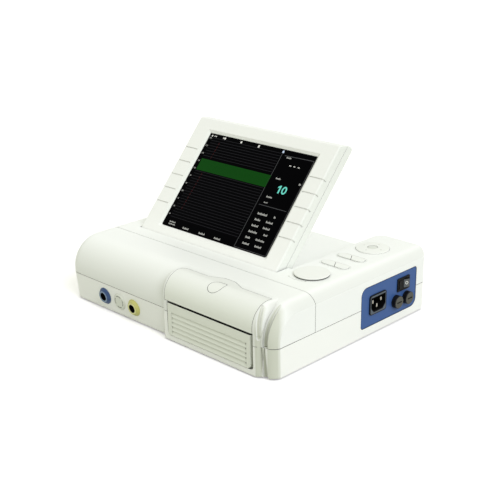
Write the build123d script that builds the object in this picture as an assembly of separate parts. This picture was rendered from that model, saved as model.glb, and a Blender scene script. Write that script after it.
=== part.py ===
from build123d import *
import math
import os

# Table-top fetal (Doppler) monitor with a folding display and a paper recorder, in millimetres.
# The model is laid out about the middle of the case: +X runs along the front to the mains panel,
# +Y to the back, +Z up, and Z = 0 is the table. save() moves every piece by FRAME_SHIFT, which
# puts the origin under the middle of the whole object.

# ---- case -----------------------------------------------------------------------------------
CASE_WIDTH = 322.6
FRONT_Y = -127.0
REAR_Y = 127.0
CASE_TOP_Z = 73.9
PART_Z = 33.9
BASE_Z = 1.5
WALL = 2.6
NOSE_R = 36.0
EDGE_R = 16.0
EDGE_CUT = 1.2
FRONT_DRAFT = 3.4
BLOCK_X0 = 100.0
BLOCK_DRAFT = 0.6
REAR_DRAFT = 2.0
REAR_TOP_R = 6.0
BASE_EDGE_R = 1.0
SEAM_Y = -65.4
SEAM_GAP = 0.5
SEAM_DEPTH = 1.4
FLOOR_Z = BASE_Z + WALL
CEILING_Z = CASE_TOP_Z - WALL
SIDE_X = CASE_WIDTH / 2

# ---- recorder -------------------------------------------------------------------------------
RECORDER_X0 = 4.5
RECORDER_X1 = 146.0
RECORDER_FRONT_Y = -130.5
RECORDER_REAR_Y = -92.0
RECORDER_TOP_Z = 74.4
RECORDER_REAR_TOP_Z = 73.5
RECORDER_NOSE_R = 23.0
RECORDER_LEFT_R = 4.0
RECORDER_RIGHT_R = 8.0
CHEEK_BACK_Y = -97.0
BAY_X0 = 12.3
BAY_X1 = 137.4
BAY_FLOOR_Z = 7.0
BAY_BACK_Y = -9.0
BAY_CORNER_R = 4.5
SLOT_Z = 46.3
COVER_X0 = 9.3
COVER_X1 = 136.2
COVER_REAR_Y = -102.2
COVER_GAP = 0.45
COVER_HUMP_Y = -94.4
FLUTE_X = 149.6
FLUTE_R = 3.1
FLUTE_SUNK = 1.6
FLUTE_FADE = 75.0
SCOOP_R = 2.9
LATCH_CENTRE = (71.6, -113.8, 73.4)
LATCH_TILT = 22.0
LATCH_GAP = 0.45

# ---- paper drawer ---------------------------------------------------------------------------
DRAWER_X0 = 13.1
DRAWER_X1 = 133.5
DRAWER_Z0 = 7.5
DRAWER_Z1 = 43.8
DRAWER_PANEL_T = 3.2
DRAWER_LIP = 1.2
TRAY_X0 = 20.0
TRAY_BACK_Y = -13.0
TRAY_Z0 = 8.0
TRAY_WALL = 1.4
TRAY_WALL_TOP_Z = 30.0
LOUVRE_COUNT = 5
LOUVRE_TOP_Z = 34.2
LOUVRE_PITCH = 5.15
LOUVRE_DEPTH = 1.6
LOUVRE_X0 = 19.0
LOUVRE_X1 = 128.5
PAPER_WIDTH = 110.0
PAPER_FOLD = 90.0
PAPER_STACK = 15.0

# ---- paper feed -----------------------------------------------------------------------------
PLATEN_Y = -115.0
PLATEN_Z = 35.0
PLATEN_R = 8.0
PLATEN_SHAFT_R = 2.5
GEAR_MODULE = 0.8
PLATEN_TEETH = 22
IDLER_TEETH = 30
PINION_TEETH = 12
GEAR_X0 = 15.2
GEAR_X1 = 18.8
IDLER_Y = PLATEN_Y + GEAR_MODULE * (PLATEN_TEETH + IDLER_TEETH) / 2
PINION_Y = IDLER_Y + GEAR_MODULE * (IDLER_TEETH + PINION_TEETH) / 2
AXLE_R = 2.0
MOTOR_R = 14.0
MOTOR_LENGTH = 20.0
MOTOR_SHAFT_R = 1.5
RUN_FIT = 0.05
HEAD_Z0 = PLATEN_Z + PLATEN_R + 0.4
HEATSINK_Z0 = 46.6
HEATSINK_Z1 = 57.0

# ---- display --------------------------------------------------------------------------------
DISPLAY_X0 = -127.5
DISPLAY_X1 = 90.0
DISPLAY_T = 22.0
DISPLAY_TILT = 48.6
BARREL_R = DISPLAY_T / 2
HINGE_Y = -41.03
HINGE_Z = CASE_TOP_Z - BARREL_R
DISPLAY_TOP_Y = HINGE_Y + 158.1
DISPLAY_END_OUT = 9.4
DISPLAY_END_R = 4.5
DISPLAY_EDGE_R = 1.6
BEZEL_T = 2.4
VIEW_X0 = -100.8
VIEW_X1 = 66.5
VIEW_Y0 = HINGE_Y + 16.4
VIEW_Y1 = VIEW_Y0 + 125.2
VIEW_CORNER_R = 2.5
BEVEL = 3.3
WINDOW_LAP = 3.0
WINDOW_T = 1.6
LCD_T = 8.0
GROOVE_RISES = (26.2, 44.7, 63.2, 81.7, 100.2)
GROOVE_WIDTH = 1.3
GROOVE_DEPTH = 0.8
GROOVE_HOOK = 5.0
PIN_R = 3.0
PIN_OUT = 12.0
PIN_IN = 15.0
WELL_GAP = 0.4
WELL_X0 = DISPLAY_X0 - 2.0
WELL_X1 = DISPLAY_X1 + 1.5
WELL_FLOOR_Z = HINGE_Z - BARREL_R - WELL_GAP
WELL_WALL = 2.5
WELL_LIP_Y = -46.5
PLATFORM_CORNER_R = 15.0
PLATFORM_EDGE_R = 6.0

# ---- controls -------------------------------------------------------------------------------
KNOB_X = 122.0
KNOB_Y = -26.0
KNOB_R = 19.1
KNOB_TOP_Z = 76.9
KNOB_LOW_Z = 74.8
KNOB_HUB_R = 4.2
KNOB_HUB_Z = 70.9
KNOB_HOLE_R = 5.0
KEY_SIZE = (34.5, 11.0)
KEY_CENTRES = ((121.5, 11.7), (121.1, 39.6))
KEY_SPLIT_ANGLE = 32.0
KEY_SPLIT_GAP = 0.5
KEY_RISE = 1.0
NAV_X = 119.5
NAV_Y = 78.5
NAV_R = 18.8
NAV_TOP_Z = 75.3
ENTER_R = 5.5
CAP_GAP = 0.3
FLANGE_LAP = 1.1
FLANGE_Z0 = 69.7
FLANGE_Z1 = 70.9
BOARD_TOP_Z = 61.6
BOARD_T = 1.6
STEM_Z = BOARD_TOP_Z + 1.4
SPINDLE_R = 2.5
COLLAR_R = 3.8

# ---- mains panel ----------------------------------------------------------------------------
PANEL_Y0 = 7.2
PANEL_Y1 = 104.5
PANEL_Z0 = 10.9
PANEL_Z1 = 57.2
PANEL_BIG_R = 9.0
PANEL_SMALL_R = 4.0
PANEL_FACE_X = SIDE_X - 0.3
PANEL_FLANGE = 2.5
INLET_Y = 35.3
INLET_Z = 34.5
INLET_SIZE = (24.2, 15.5)
INLET_CHAMFER = 4.5
INLET_DEPTH = 15.0
INLET_WALL = 1.5
INLET_PIN_PITCH = 7.0
SWITCH_Y = 80.15
SWITCH_Z = 43.3
SWITCH_SIZE = (21.7, 15.0)
ROCKER_PIVOT_X = PANEL_FACE_X - 3.0
ROCKER_TILT = 8.0
ROCKER_PIN_R = 1.2
FUSE_PLACES = ((67.5, 26.0), (86.6, 25.4))
FUSE_CAP_R = 7.2
FUSE_CAP_OUT = 5.5

# ---- probe sockets --------------------------------------------------------------------------
SOCKET_XS = {"blue": -99.5, "blank": -74.0, "yellow": -49.0}
SOCKET_Z = 18.0
SOCKET_R = 9.9
SOCKET_FACE_R = 7.2
SOCKET_OUT = 3.2
SOCKET_BORE_R = 4.8
SOCKET_FREE = 9.0
SOCKET_BODY_R = 7.4
SOCKET_BODY_DEPTH = 13.0

# ---- electronics ----------------------------------------------------------------------------
BOARD_FLOOR_Z = 12.0
MAIN_BOARD = (-142.0, -10.0, -40.0, 106.0)
POWER_BOARD = (12.0, 118.0, 2.0, 104.0)
KEYPAD_BOARD = (104.0, 150.0, -42.0, 103.0)
SPEAKER_X = -112.0
SPEAKER_Y = -72.0
SPEAKER_R = 22.0

# ---- fasteners and feet ---------------------------------------------------------------------
BOSSES = ((-148.0, -82.0), (-148.0, 96.0), (-40.0, 114.0), (112.0, 112.0), (148.0, -82.0))
BOSS_R = 4.0
SCREW_R = 1.5
SCREW_HEAD_R = 2.9
DISPLAY_SCREWS = ((-112.0, -18.0), (80.0, -18.0), (-112.0, 98.0), (80.0, 98.0))
FEET = ((-138.0, -100.0), (138.0, -100.0), (-138.0, 104.0), (138.0, 104.0))
FOOT_R = 8.0
FOOT_PEG_R = 3.0

FRAME_SHIFT = (-FUSE_CAP_OUT / 2 + 0.15, -(RECORDER_FRONT_Y + REAR_Y) / 2, 0.0)


# ---- small builders -------------------------------------------------------------------------
def block(x0, x1, y0, y1, z0, z1):
    """A box given by its six faces."""
    centre = Pos((x0 + x1) / 2, (y0 + y1) / 2, (z0 + z1) / 2)
    return centre * Box(x1 - x0, y1 - y0, z1 - z0)


def post(x, y, z0, z1, radius):
    """An upright round rod."""
    return Pos(x, y, (z0 + z1) / 2) * Cylinder(radius, z1 - z0)


def bar(x0, x1, y, z, radius):
    """A round rod along X."""
    return Pos((x0 + x1) / 2, y, z) * Rot(0, 90, 0) * Cylinder(radius, x1 - x0)


def side_prism(outline, x0, x1):
    """A closed outline drawn in (Y, Z), run from x0 to x1."""
    face = make_face(Plane.YZ * outline)
    return Pos((x0 + x1) / 2, 0, 0) * extrude(face, amount=(x1 - x0) / 2, both=True)


def front_prism(face, x, z, y0, y1):
    """A flat face drawn in (X, Z) about (x, z), run forward from y0 to y1."""
    place = Plane(origin=(x, y0, z), x_dir=(1, 0, 0), z_dir=(0, -1, 0))
    return extrude(place * face, amount=y0 - y1)


def turned(profile, axis_place):
    """A closed (radius, height) polyline turned about the Z axis of axis_place."""
    face = make_face(Plane.XZ * Polyline(*profile, close=True))
    return axis_place * revolve(face, Axis.Z)


def save(name, *pieces):
    solids = [solid for piece in pieces for solid in piece.solids()]
    export_step(Compound([Pos(*FRAME_SHIFT) * solid for solid in solids]), f"parts/{name}.step")


# ---- outer forms ----------------------------------------------------------------------------
def nose_outline(front, top, base, radius, draft, rear_points):
    """Side outline of a rounded nose: drafted or upright front, arc, then the rear points."""
    bend = radius * (1 - math.sqrt(0.5))
    front_line = Polyline(rear_points[-1], (front + draft, base), (front, PART_Z), (front, top - radius))
    arc = ThreePointArc((front, top - radius), (front + bend, top - bend), (front + radius, top))
    rear_line = Polyline((front + radius, top), *rear_points)
    return front_line + arc + rear_line


def end_edges(form, x_end, base, rear):
    """Edges of a prism's end loop, without its base and its rear edge."""
    loop = [e for e in form.edges() if abs(abs(e.center().X) - x_end) < 0.01]
    return [e for e in loop if e.center().Z > base + 0.1 and e.bounding_box().min.Y < rear - 2.5]


def case_form(inset=0.0):
    """The whole case as one solid: the front is drafted, but stands upright right of the recorder."""
    left = drafted_case(inset, FRONT_DRAFT) & block(-200, BLOCK_X0, -200, 200, 0, 100)
    right = drafted_case(inset, BLOCK_DRAFT) & block(BLOCK_X0, 200, -200, 200, 0, 100)
    return left + right


def drafted_case(inset, draft):
    """Rounded nose, with the large edge rounding cut off flat at the sides."""
    front = FRONT_Y + inset
    rear = REAR_Y - inset
    top = CASE_TOP_Z - inset
    base = BASE_Z + inset
    x_end = SIDE_X + EDGE_CUT - inset
    edge_r = EDGE_R - inset
    rear_points = ((rear, top), (rear, PART_Z), (rear - REAR_DRAFT, base))
    outline = nose_outline(front, top, base, NOSE_R - inset, draft, rear_points)
    form = side_prism(outline, -x_end, x_end)
    form = fillet(end_edges(form, x_end, base, rear), edge_r)
    plan = Pos(0, (rear + front) / 2 - 10) * Rectangle(2 * x_end, rear - front + 20)
    plan = fillet(plan.vertices().sort_by(Axis.Y)[-2:], edge_r)
    form &= extrude(plan, amount=CASE_TOP_Z + 10)
    form &= block(-SIDE_X + inset, SIDE_X - inset, FRONT_Y - 50, REAR_Y + 50, -50, 150)
    if inset == 0.0:
        top_rear = [e for e in form.edges()
                    if abs(e.bounding_box().max.Z - top) < 0.05 and e.center().Y > rear - edge_r + 1]
        form = fillet(top_rear, REAR_TOP_R)
        form = fillet([e for e in form.edges() if abs(e.center().Z - base) < 0.01], BASE_EDGE_R)
    return form


def recorder_form(inset=0.0):
    """The recorder's proud nose at the right of the front."""
    front = RECORDER_FRONT_Y + inset
    top = RECORDER_TOP_Z - inset
    base = BASE_Z + inset
    rear = RECORDER_REAR_Y
    rear_points = ((rear, RECORDER_REAR_TOP_Z - inset), (rear, base))
    outline = nose_outline(front, top, base, RECORDER_NOSE_R - inset, 0.6, rear_points)
    x0 = RECORDER_X0 + inset
    x1 = RECORDER_X1 - inset
    form = side_prism(outline, x0, x1)
    if inset == 0.0:
        ends = [e for e in form.edges() if e.center().Z > base + 0.1 and e.center().Y < rear - 2]
        form = fillet([e for e in ends if abs(e.center().X - x0) < 0.01], RECORDER_LEFT_R)
        ends = [e for e in form.edges() if e.center().Z > base + 0.1 and e.center().Y < rear - 2]
        form = fillet([e for e in ends if abs(e.center().X - x1) < 0.01], RECORDER_RIGHT_R)
    return form


# ---- shared cutting shapes ------------------------------------------------------------------
def cover_plan(gap):
    """Plan of the recorder cover, grown by gap: rounded rear left corner, hump behind the latch."""
    x0 = COVER_X0 - gap
    x1 = COVER_X1 + gap
    rear = COVER_REAR_Y + gap
    hump = COVER_HUMP_Y + gap
    front = RECORDER_FRONT_Y - 10
    outline = Polyline(
        (x0, front), (x0, rear), (47, rear), (63, hump), (79, hump), (95, rear), (x1, rear), (x1, front),
        close=True,
    )
    face = make_face(outline)
    corners = face.vertices()
    face = fillet([v for v in corners if 40 < v.X < 100], 9.0)
    rear_left = [v for v in face.vertices() if abs(v.X - x0) < 0.01 and v.Y > front + 1]
    return fillet(rear_left, 8.0)


def cover_prism(gap):
    return Pos(0, 0, SLOT_Z - gap) * extrude(cover_plan(gap), amount=60)


def latch_place():
    """Frame of the latch button: Z along its travel, out of the cover."""
    return Pos(*LATCH_CENTRE) * Rot(LATCH_TILT, 0, 0)


def latch_prism(gap):
    """Teardrop outline of the latch button, run along its travel."""
    round_end = Pos(-0.7, -1.2) * Circle(8.5)
    tip = Pos(5.4, 5.0) * Circle(2.6)
    face = make_hull(round_end.edges() + tip.edges())
    if gap:
        face = offset(face, amount=gap)
    return latch_place() * extrude(face, amount=14, both=True)


def lozenge(centre, grow, z0, z1):
    """A long key outline with full round ends, as an upright prism."""
    x, y = centre
    width, depth = KEY_SIZE
    face = RectangleRounded(width + 2 * grow, depth + 2 * grow, depth / 2 + grow - 0.1)
    return Pos(x, y, z0) * extrude(face, amount=z1 - z0)


def rounded_panel(grow, x0, x1):
    """The mains panel's outline: two large and two small corners, run along X."""
    y0, y1 = PANEL_Y0 - grow, PANEL_Y1 + grow
    z0, z1 = PANEL_Z0 - grow, PANEL_Z1 + grow
    face = make_face(Polyline((y0, z0), (y1, z0), (y1, z1), (y0, z1), close=True))
    big = [v for v in face.vertices() if (v.X < y0 + 1) == (v.Y > z1 - 1)]
    face = fillet(big, PANEL_BIG_R + grow)
    small = [v for v in face.vertices() if min(v.X - y0, y1 - v.X) < 0.01 and min(v.Y - z0, z1 - v.Y) < 0.01]
    face = fillet(small, PANEL_SMALL_R + grow)
    return Pos((x0 + x1) / 2, 0, 0) * extrude(Plane.YZ * face, amount=(x1 - x0) / 2, both=True)


def side_rectangle(y, z, width, height, radius, x0, x1):
    """A rounded rectangle facing +X, run from x0 to x1."""
    face = Plane.YZ * (Pos(y, z) * RectangleRounded(width, height, radius))
    return Pos((x0 + x1) / 2, 0, 0) * extrude(face, amount=(x1 - x0) / 2, both=True)


def socket_place(x):
    """Frame on the drafted front wall: Z straight out of the wall."""
    draft = math.degrees(math.atan2(FRONT_DRAFT, PART_Z - BASE_Z))
    wall_y = FRONT_Y + FRONT_DRAFT * (PART_Z - SOCKET_Z) / (PART_Z - BASE_Z)
    return Pos(x, wall_y, SOCKET_Z) * Rot(90 + draft, 0, 0)


def well_outline():
    """Side outline of the display well: lip along the open display, round front, flat floor."""
    radius = BARREL_R + WELL_GAP
    tilt = math.radians(DISPLAY_TILT)
    touch = (HINGE_Y - radius * math.sin(tilt), HINGE_Z + radius * math.cos(tilt))
    rise = CASE_TOP_Z + 10 - touch[1]
    lip_top = (touch[0] + rise / math.tan(tilt), CASE_TOP_Z + 10)
    bottom = (HINGE_Y, HINGE_Z - radius)
    middle = (HINGE_Y - radius * math.cos(math.radians(25)), HINGE_Z - radius * math.sin(math.radians(25)))
    back_y = REAR_Y + 10
    lines = Polyline(bottom, (back_y, bottom[1]), (back_y, CASE_TOP_Z + 10), lip_top, touch)
    return lines + ThreePointArc(touch, middle, bottom)


def board_corners(board, inset):
    x0, x1, y0, y1 = board
    return [(x, y) for x in (x0 + inset, x1 - inset) for y in (y0 + inset, y1 - inset)]


# ---- housing --------------------------------------------------------------------------------
def flute_tools():
    """Cutters for the flutes right of the recorder: one deep groove and a bent scoop with a round foot."""
    nose_centre = Vector(0, FRONT_Y + NOSE_R, CASE_TOP_Z - NOSE_R)
    front = FRONT_Y + FLUTE_SUNK
    rise = NOSE_R + FLUTE_R + 0.2
    fade = math.radians(FLUTE_FADE)
    fade_end = nose_centre + Vector(0, -rise * math.cos(fade), rise * math.sin(fade))
    upright = Line((0, front, -6), (0, front, nose_centre.Z))
    path = upright + TangentArc(upright @ 1, fade_end, tangent=(0, 0, 1))
    section = Plane(origin=path @ 0, z_dir=path % 0) * Circle(FLUTE_R)
    groove = Pos(FLUTE_X, 0, 0) * sweep(section, path=path)
    foot, middle, tip = (144.1, -129.4, 43.4), (143.4, -129.3, 57.6), (138.3, -118.5, 74.4)
    scoop = arc_rod(foot, middle, tip, SCOOP_R) + Pos(*foot) * Sphere(SCOOP_R + 0.2)
    return [groove, scoop]


def arc_rod(start, middle, end, radius):
    """A round rod bent along an arc through three points."""
    path = ThreePointArc(start, middle, end)
    section = Plane(origin=path @ 0, z_dir=path % 0) * Circle(radius)
    return sweep(section, path=path)


def shell_solid():
    """Walls of the whole housing before it is split, with solid cheeks beside the recorder."""
    outer = case_form() + recorder_form()
    inner = case_form(WALL) + recorder_form(WALL)
    inner -= block(BAY_X1, 158.0, -140, CHEEK_BACK_Y, 0, 90)
    inner -= block(RECORDER_X0, COVER_X0, -140, CHEEK_BACK_Y, 0, 90)
    shell = outer - inner
    shell -= drawer_opening()
    for tool in flute_tools():
        shell -= tool
    return outer, inner, shell


def drawer_opening():
    """Opening for the drawer front: round lower corners, open to the slot above."""
    width = BAY_X1 - BAY_X0
    height = SLOT_Z - BAY_FLOOR_Z
    face = Rectangle(width, height)
    face = fillet(face.vertices().sort_by(Axis.Y)[:2], BAY_CORNER_R)
    return front_prism(face, (BAY_X0 + BAY_X1) / 2, (SLOT_Z + BAY_FLOOR_Z) / 2, -118, -148)


def seam_groove(outer, region):
    """The shadow line of a joint between two covers, cut into the outside only."""
    return (outer & region) - case_form(SEAM_DEPTH) - recorder_form(SEAM_DEPTH)


def make_bottom_case(outer, shell):
    lower = shell & block(-200, 200, -200, 200, 0, PART_Z)
    lower -= seam_groove(outer, block(-200, 200, -200, 200, PART_Z - SEAM_GAP, PART_Z + 1))
    for x0, x1 in ((COVER_X0, BAY_X0), (BAY_X1, BAY_X1 + 2.5)):
        lower += block(x0, x1, FRONT_Y - 1.5, BAY_BACK_Y, FLOOR_Z - 0.5, PART_Z)
    lower += block(COVER_X0, BAY_X0, PINION_Y - MOTOR_R, PINION_Y + MOTOR_R, PART_Z, PLATEN_Z + MOTOR_R)
    for x in (TRAY_X0 + 8, (TRAY_X0 + DRAWER_X1) / 2, DRAWER_X1 - 8):
        lower += block(x - 1, x + 1, FRONT_Y + 6, BAY_BACK_Y, FLOOR_Z - 0.5, TRAY_Z0)
    lower -= drawer_opening()
    for x, y in BOSSES:
        lower += post(x, y, FLOOR_Z - 0.5, PART_Z, BOSS_R)
        lower -= post(x, y, 0, PART_Z + 1, SCREW_R)
        lower -= post(x, y, 0, BASE_Z + 3.2, SCREW_HEAD_R + 0.2)
    for x, y in board_corners(MAIN_BOARD, 6) + board_corners(POWER_BOARD, 6):
        lower += post(x, y, FLOOR_Z - 0.5, BOARD_FLOOR_Z, 3.0)
    for x, y in FEET:
        lower -= post(x, y, 0, FLOOR_Z + 0.5, FOOT_PEG_R)
    for name, x in SOCKET_XS.items():
        lower -= socket_place(x) * Cylinder(SOCKET_BODY_R, 20)
    for step in range(-3, 4):
        slot = Pos(SPEAKER_X, SPEAKER_Y + 4.5 * step, BASE_Z) * SlotOverall(34 - 3 * abs(step), 2.0)
        lower -= Pos(0, 0, -2) * extrude(slot, amount=8)
    lower -= bar(COVER_X0 - 5, BAY_X0 + 1, PINION_Y, PLATEN_Z, MOTOR_SHAFT_R + 1.0)
    lower -= bar(COVER_X0 - 5, BAY_X0 + 1, IDLER_Y, PLATEN_Z, AXLE_R)
    lower -= rounded_panel(0, SIDE_X - WALL - 0.1, SIDE_X + 5)
    return lower


def make_front_cover(outer, inner, shell):
    front = shell & block(-200, 200, -200, SEAM_Y, PART_Z, 100)
    front -= seam_groove(outer, block(-200, 200, SEAM_Y - SEAM_GAP, SEAM_Y + 1, PART_Z - 1, 100))
    front += block(COVER_X0 - 0.1, BAY_X0, FRONT_Y, CHEEK_BACK_Y, PART_Z, SLOT_Z)
    ledge = (recorder_form(WALL) + case_form(WALL)) - recorder_form(WALL + 1.6) - case_form(WALL + 1.6)
    ledge &= cover_prism(2.2) - cover_prism(-2.2)
    ledge &= block(COVER_X0 - 5, BAY_X1, -122, -80, SLOT_Z + 14, 100)
    front -= cover_prism(COVER_GAP)
    front += ledge
    for x, y in BOSSES:
        if y < SEAM_Y:
            front += post(x, y, PART_Z, 80, BOSS_R) & inner
            front -= post(x, y, PART_Z - 1, PART_Z + 10, SCREW_R)
    return front


def make_rear_cover(outer, inner, shell):
    rear = shell & block(-200, 200, SEAM_Y, 200, PART_Z, 100)
    tray = block(WELL_X0 - WELL_WALL, WELL_X1 + WELL_WALL, WELL_LIP_Y - 8.5, 200, WELL_FLOOR_Z - WELL_WALL, 100)
    corner_x = WELL_X1 + PLATFORM_CORNER_R
    corner_y = REAR_Y - PLATFORM_CORNER_R
    corner = block(WELL_X1, corner_x, corner_y, REAR_Y + 5, WELL_FLOOR_Z, 100)
    tray += block(WELL_X1, corner_x, corner_y, 200, WELL_FLOOR_Z - WELL_WALL, 100) \
        - post(corner_x, corner_y, 0, 100, PLATFORM_CORNER_R - WELL_WALL)
    rear += tray & (outer - block(-200, 200, -200, SEAM_Y, 0, 100))
    rear -= side_prism(well_outline(), WELL_X0, WELL_X1)
    rear -= corner - post(corner_x, corner_y, 0, 100, PLATFORM_CORNER_R)
    rear -= platform_rounding(corner_x, corner_y)
    rear -= post(KNOB_X, KNOB_Y, 60, 90, KNOB_HOLE_R)
    for centre in KEY_CENTRES:
        rear -= lozenge(centre, CAP_GAP, 60, 90)
    rear -= post(NAV_X, NAV_Y, 60, 90, NAV_R + CAP_GAP)
    for x in (WELL_X0, WELL_X1):
        rear -= bar(x - 6, x + 6, HINGE_Y, HINGE_Z, PIN_R + 0.8)
    for x, y in BOSSES:
        if y > SEAM_Y:
            top = WELL_FLOOR_Z - WELL_WALL if WELL_X0 < x < WELL_X1 else 80
            rear += post(x, y, PART_Z, top, BOSS_R) & inner
            rear -= post(x, y, PART_Z - 1, PART_Z + 10, SCREW_R)
    for x, y in board_corners(KEYPAD_BOARD, 4):
        rear += post(x, y, BOARD_TOP_Z, CEILING_Z + 0.5, 2.5)
    rear -= rounded_panel(0, SIDE_X - WALL - 0.1, SIDE_X + 5)
    return rear


def platform_rounding(corner_x, corner_y):
    """Cutter that rounds the platform's edge along the well and round its rear corner."""
    radius = PLATFORM_EDGE_R
    y0 = HINGE_Y + BARREL_R + 1
    arc = ThreePointArc((0, -radius), (radius * (1 - math.sqrt(0.5)), -radius * (1 - math.sqrt(0.5))), (radius, 0))
    face = make_face(arc + Polyline((radius, 0), (radius, 3), (-1, 3), (-1, -radius), (0, -radius)))
    straight = front_prism(face, WELL_X1, CASE_TOP_Z, corner_y, y0)
    profile = Plane.XZ * Pos(-PLATFORM_CORNER_R, CASE_TOP_Z) * face
    turn = Pos(corner_x, corner_y, 0) * revolve(profile, Axis.Z)
    return straight + (turn & block(WELL_X1 - 5, corner_x, corner_y, corner_y + 30, 0, 100))


def make_printer_cover():
    outer = recorder_form() + case_form()
    inner = recorder_form(WALL) + case_form(WALL)
    return ((outer - inner) & cover_prism(0)) - latch_prism(LATCH_GAP)


def make_release_button():
    """Flush cap, retaining flange under the cover and the stem that works the drawer latch."""
    under = recorder_form(WALL + 1.4)
    cap = (latch_prism(0) & recorder_form()) - under
    flange = (latch_prism(LATCH_GAP + 1.0) & recorder_form(WALL + 0.2)) - under
    stem = (latch_place() * Pos(0, 0, -8) * Cylinder(2.5, 10)) & recorder_form(WALL)
    return cap + flange + stem


# ---- paper drawer and feed ------------------------------------------------------------------
def make_paper_drawer():
    panel_back = RECORDER_FRONT_Y + DRAWER_PANEL_T
    width = DRAWER_X1 - DRAWER_X0
    height = DRAWER_Z1 - DRAWER_Z0
    face = Rectangle(width, height)
    face = fillet(face.vertices().sort_by(Axis.Y)[:2], BAY_CORNER_R - 0.7)
    middle = ((DRAWER_X0 + DRAWER_X1) / 2, (DRAWER_Z0 + DRAWER_Z1) / 2)
    drawer = front_prism(face, *middle, panel_back, RECORDER_FRONT_Y)
    top_edges = [e for e in drawer.faces().sort_by(Axis.Z)[-1].edges() if abs(e.center().Y - panel_back) < 0.01]
    drawer = chamfer(top_edges, DRAWER_LIP)
    for step in range(LOUVRE_COUNT):
        top = LOUVRE_TOP_Z - step * LOUVRE_PITCH
        wedge = Polyline(
            (RECORDER_FRONT_Y - 1, top), (RECORDER_FRONT_Y + LOUVRE_DEPTH, top - 0.3),
            (RECORDER_FRONT_Y, top - LOUVRE_PITCH), (RECORDER_FRONT_Y - 1, top - LOUVRE_PITCH),
            close=True,
        )
        drawer -= side_prism(wedge, LOUVRE_X0, LOUVRE_X1)
    tray_front = panel_back - 0.1
    x0, x1 = TRAY_X0, DRAWER_X1 - 0.2
    tray = block(x0, x1, tray_front, TRAY_BACK_Y, TRAY_Z0, TRAY_WALL_TOP_Z)
    tray += block(x0, x1, tray_front, PLATEN_Y + 6, TRAY_Z0, DRAWER_Z1 - DRAWER_LIP)
    tray -= block(x0 + TRAY_WALL, x1 - TRAY_WALL, panel_back, TRAY_BACK_Y - TRAY_WALL, TRAY_Z0 + TRAY_WALL, 90)
    drawer += tray
    drawer -= bar(x0 - 1, x1 + 1, PLATEN_Y, PLATEN_Z, PLATEN_SHAFT_R + RUN_FIT)
    return drawer


def spur_gear(teeth, x0, x1, bore_r, phase):
    """A spur gear along X with straight-flanked teeth, turned by phase degrees."""
    pitch_r = GEAR_MODULE * teeth / 2
    root_r = pitch_r - 1.2 * GEAR_MODULE
    tip_r = pitch_r + 0.9 * GEAR_MODULE
    pitch = 2 * math.pi / teeth
    points = []
    for tooth in range(teeth):
        for radius, share in ((root_r, -0.30), (tip_r, -0.10), (tip_r, 0.10), (root_r, 0.30)):
            angle = math.radians(phase) + pitch * (tooth + share)
            points.append((radius * math.cos(angle), radius * math.sin(angle)))
    face = make_face(Polyline(*points, close=True)) - Circle(bore_r)
    return Pos((x0 + x1) / 2, 0, 0) * extrude(Plane.YZ * face, amount=(x1 - x0) / 2, both=True)


def make_platen():
    """Rubber roller on its steel shaft, and the gear on the shaft's left end."""
    roller = bar(TRAY_X0 + 3.0, DRAWER_X1 - 3.2, PLATEN_Y, PLATEN_Z, PLATEN_R)
    roller += bar(GEAR_X0, DRAWER_X1 - 0.2, PLATEN_Y, PLATEN_Z, PLATEN_SHAFT_R)
    gear = Pos(0, PLATEN_Y, PLATEN_Z) * spur_gear(PLATEN_TEETH, GEAR_X0, GEAR_X1, PLATEN_SHAFT_R, 0)
    return roller, gear


def make_idler():
    phase = 180 / IDLER_TEETH
    gear = Pos(0, IDLER_Y, PLATEN_Z) * spur_gear(IDLER_TEETH, GEAR_X0, GEAR_X1, AXLE_R + RUN_FIT, phase)
    axle = bar(BAY_X0 - 2.5, GEAR_X1 + 0.6, IDLER_Y, PLATEN_Z, AXLE_R)
    return gear, axle


def make_feed_motor():
    x1 = COVER_X0
    place = (PINION_Y, PLATEN_Z)
    can = bar(x1 - MOTOR_LENGTH, x1, *place, MOTOR_R)
    can = chamfer(can.edges().filter_by(GeomType.CIRCLE), 1.0)
    rear_boss = bar(x1 - MOTOR_LENGTH - 2, x1 - MOTOR_LENGTH, *place, 4.0)
    return can + rear_boss - bar(x1 - 12, x1 + 1, *place, MOTOR_SHAFT_R + RUN_FIT)


def make_motor_pinion():
    gear = Pos(0, PINION_Y, PLATEN_Z) * spur_gear(PINION_TEETH, GEAR_X0, GEAR_X1, 0.5, 0)
    shaft = bar(COVER_X0 - 11.8, GEAR_X1 + 0.5, PINION_Y, PLATEN_Z, MOTOR_SHAFT_R)
    return gear + shaft


def make_print_head():
    """Ceramic head over the platen, carried by a finned heatsink between the recorder's cheeks."""
    x0, x1 = COVER_X0, BAY_X1
    y0, y1 = PLATEN_Y - 8, PLATEN_Y + 12
    head = block(TRAY_X0 + 3, DRAWER_X1 - 3, y0, y1, HEAD_Z0, HEATSINK_Z0)
    sink = block(x0, x1, y0, y1, HEATSINK_Z0, HEATSINK_Z1)
    fin_gap = 1.6
    for row in range(5):
        y = y0 + 2.2 + row * 3.6
        sink -= block(x0 + 5, x1 - 5, y, y + fin_gap, HEATSINK_Z0 + 2.5, HEATSINK_Z1 + 1)
    return head, sink


def make_paper_pack():
    """Folded recorder paper lying in the tray."""
    x0 = (TRAY_X0 + DRAWER_X1 - 0.2 - PAPER_WIDTH) / 2
    y1 = TRAY_BACK_Y - TRAY_WALL - 0.6
    z0 = TRAY_Z0 + TRAY_WALL
    return block(x0, x0 + PAPER_WIDTH, y1 - PAPER_FOLD, y1, z0, z0 + PAPER_STACK)


# ---- display --------------------------------------------------------------------------------
def open_display(piece):
    """Turn a piece drawn in the folded display up to the open position."""
    return Pos(0, HINGE_Y, HINGE_Z) * Rot(DISPLAY_TILT, 0, 0) * Pos(0, -HINGE_Y, -HINGE_Z) * piece


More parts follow.
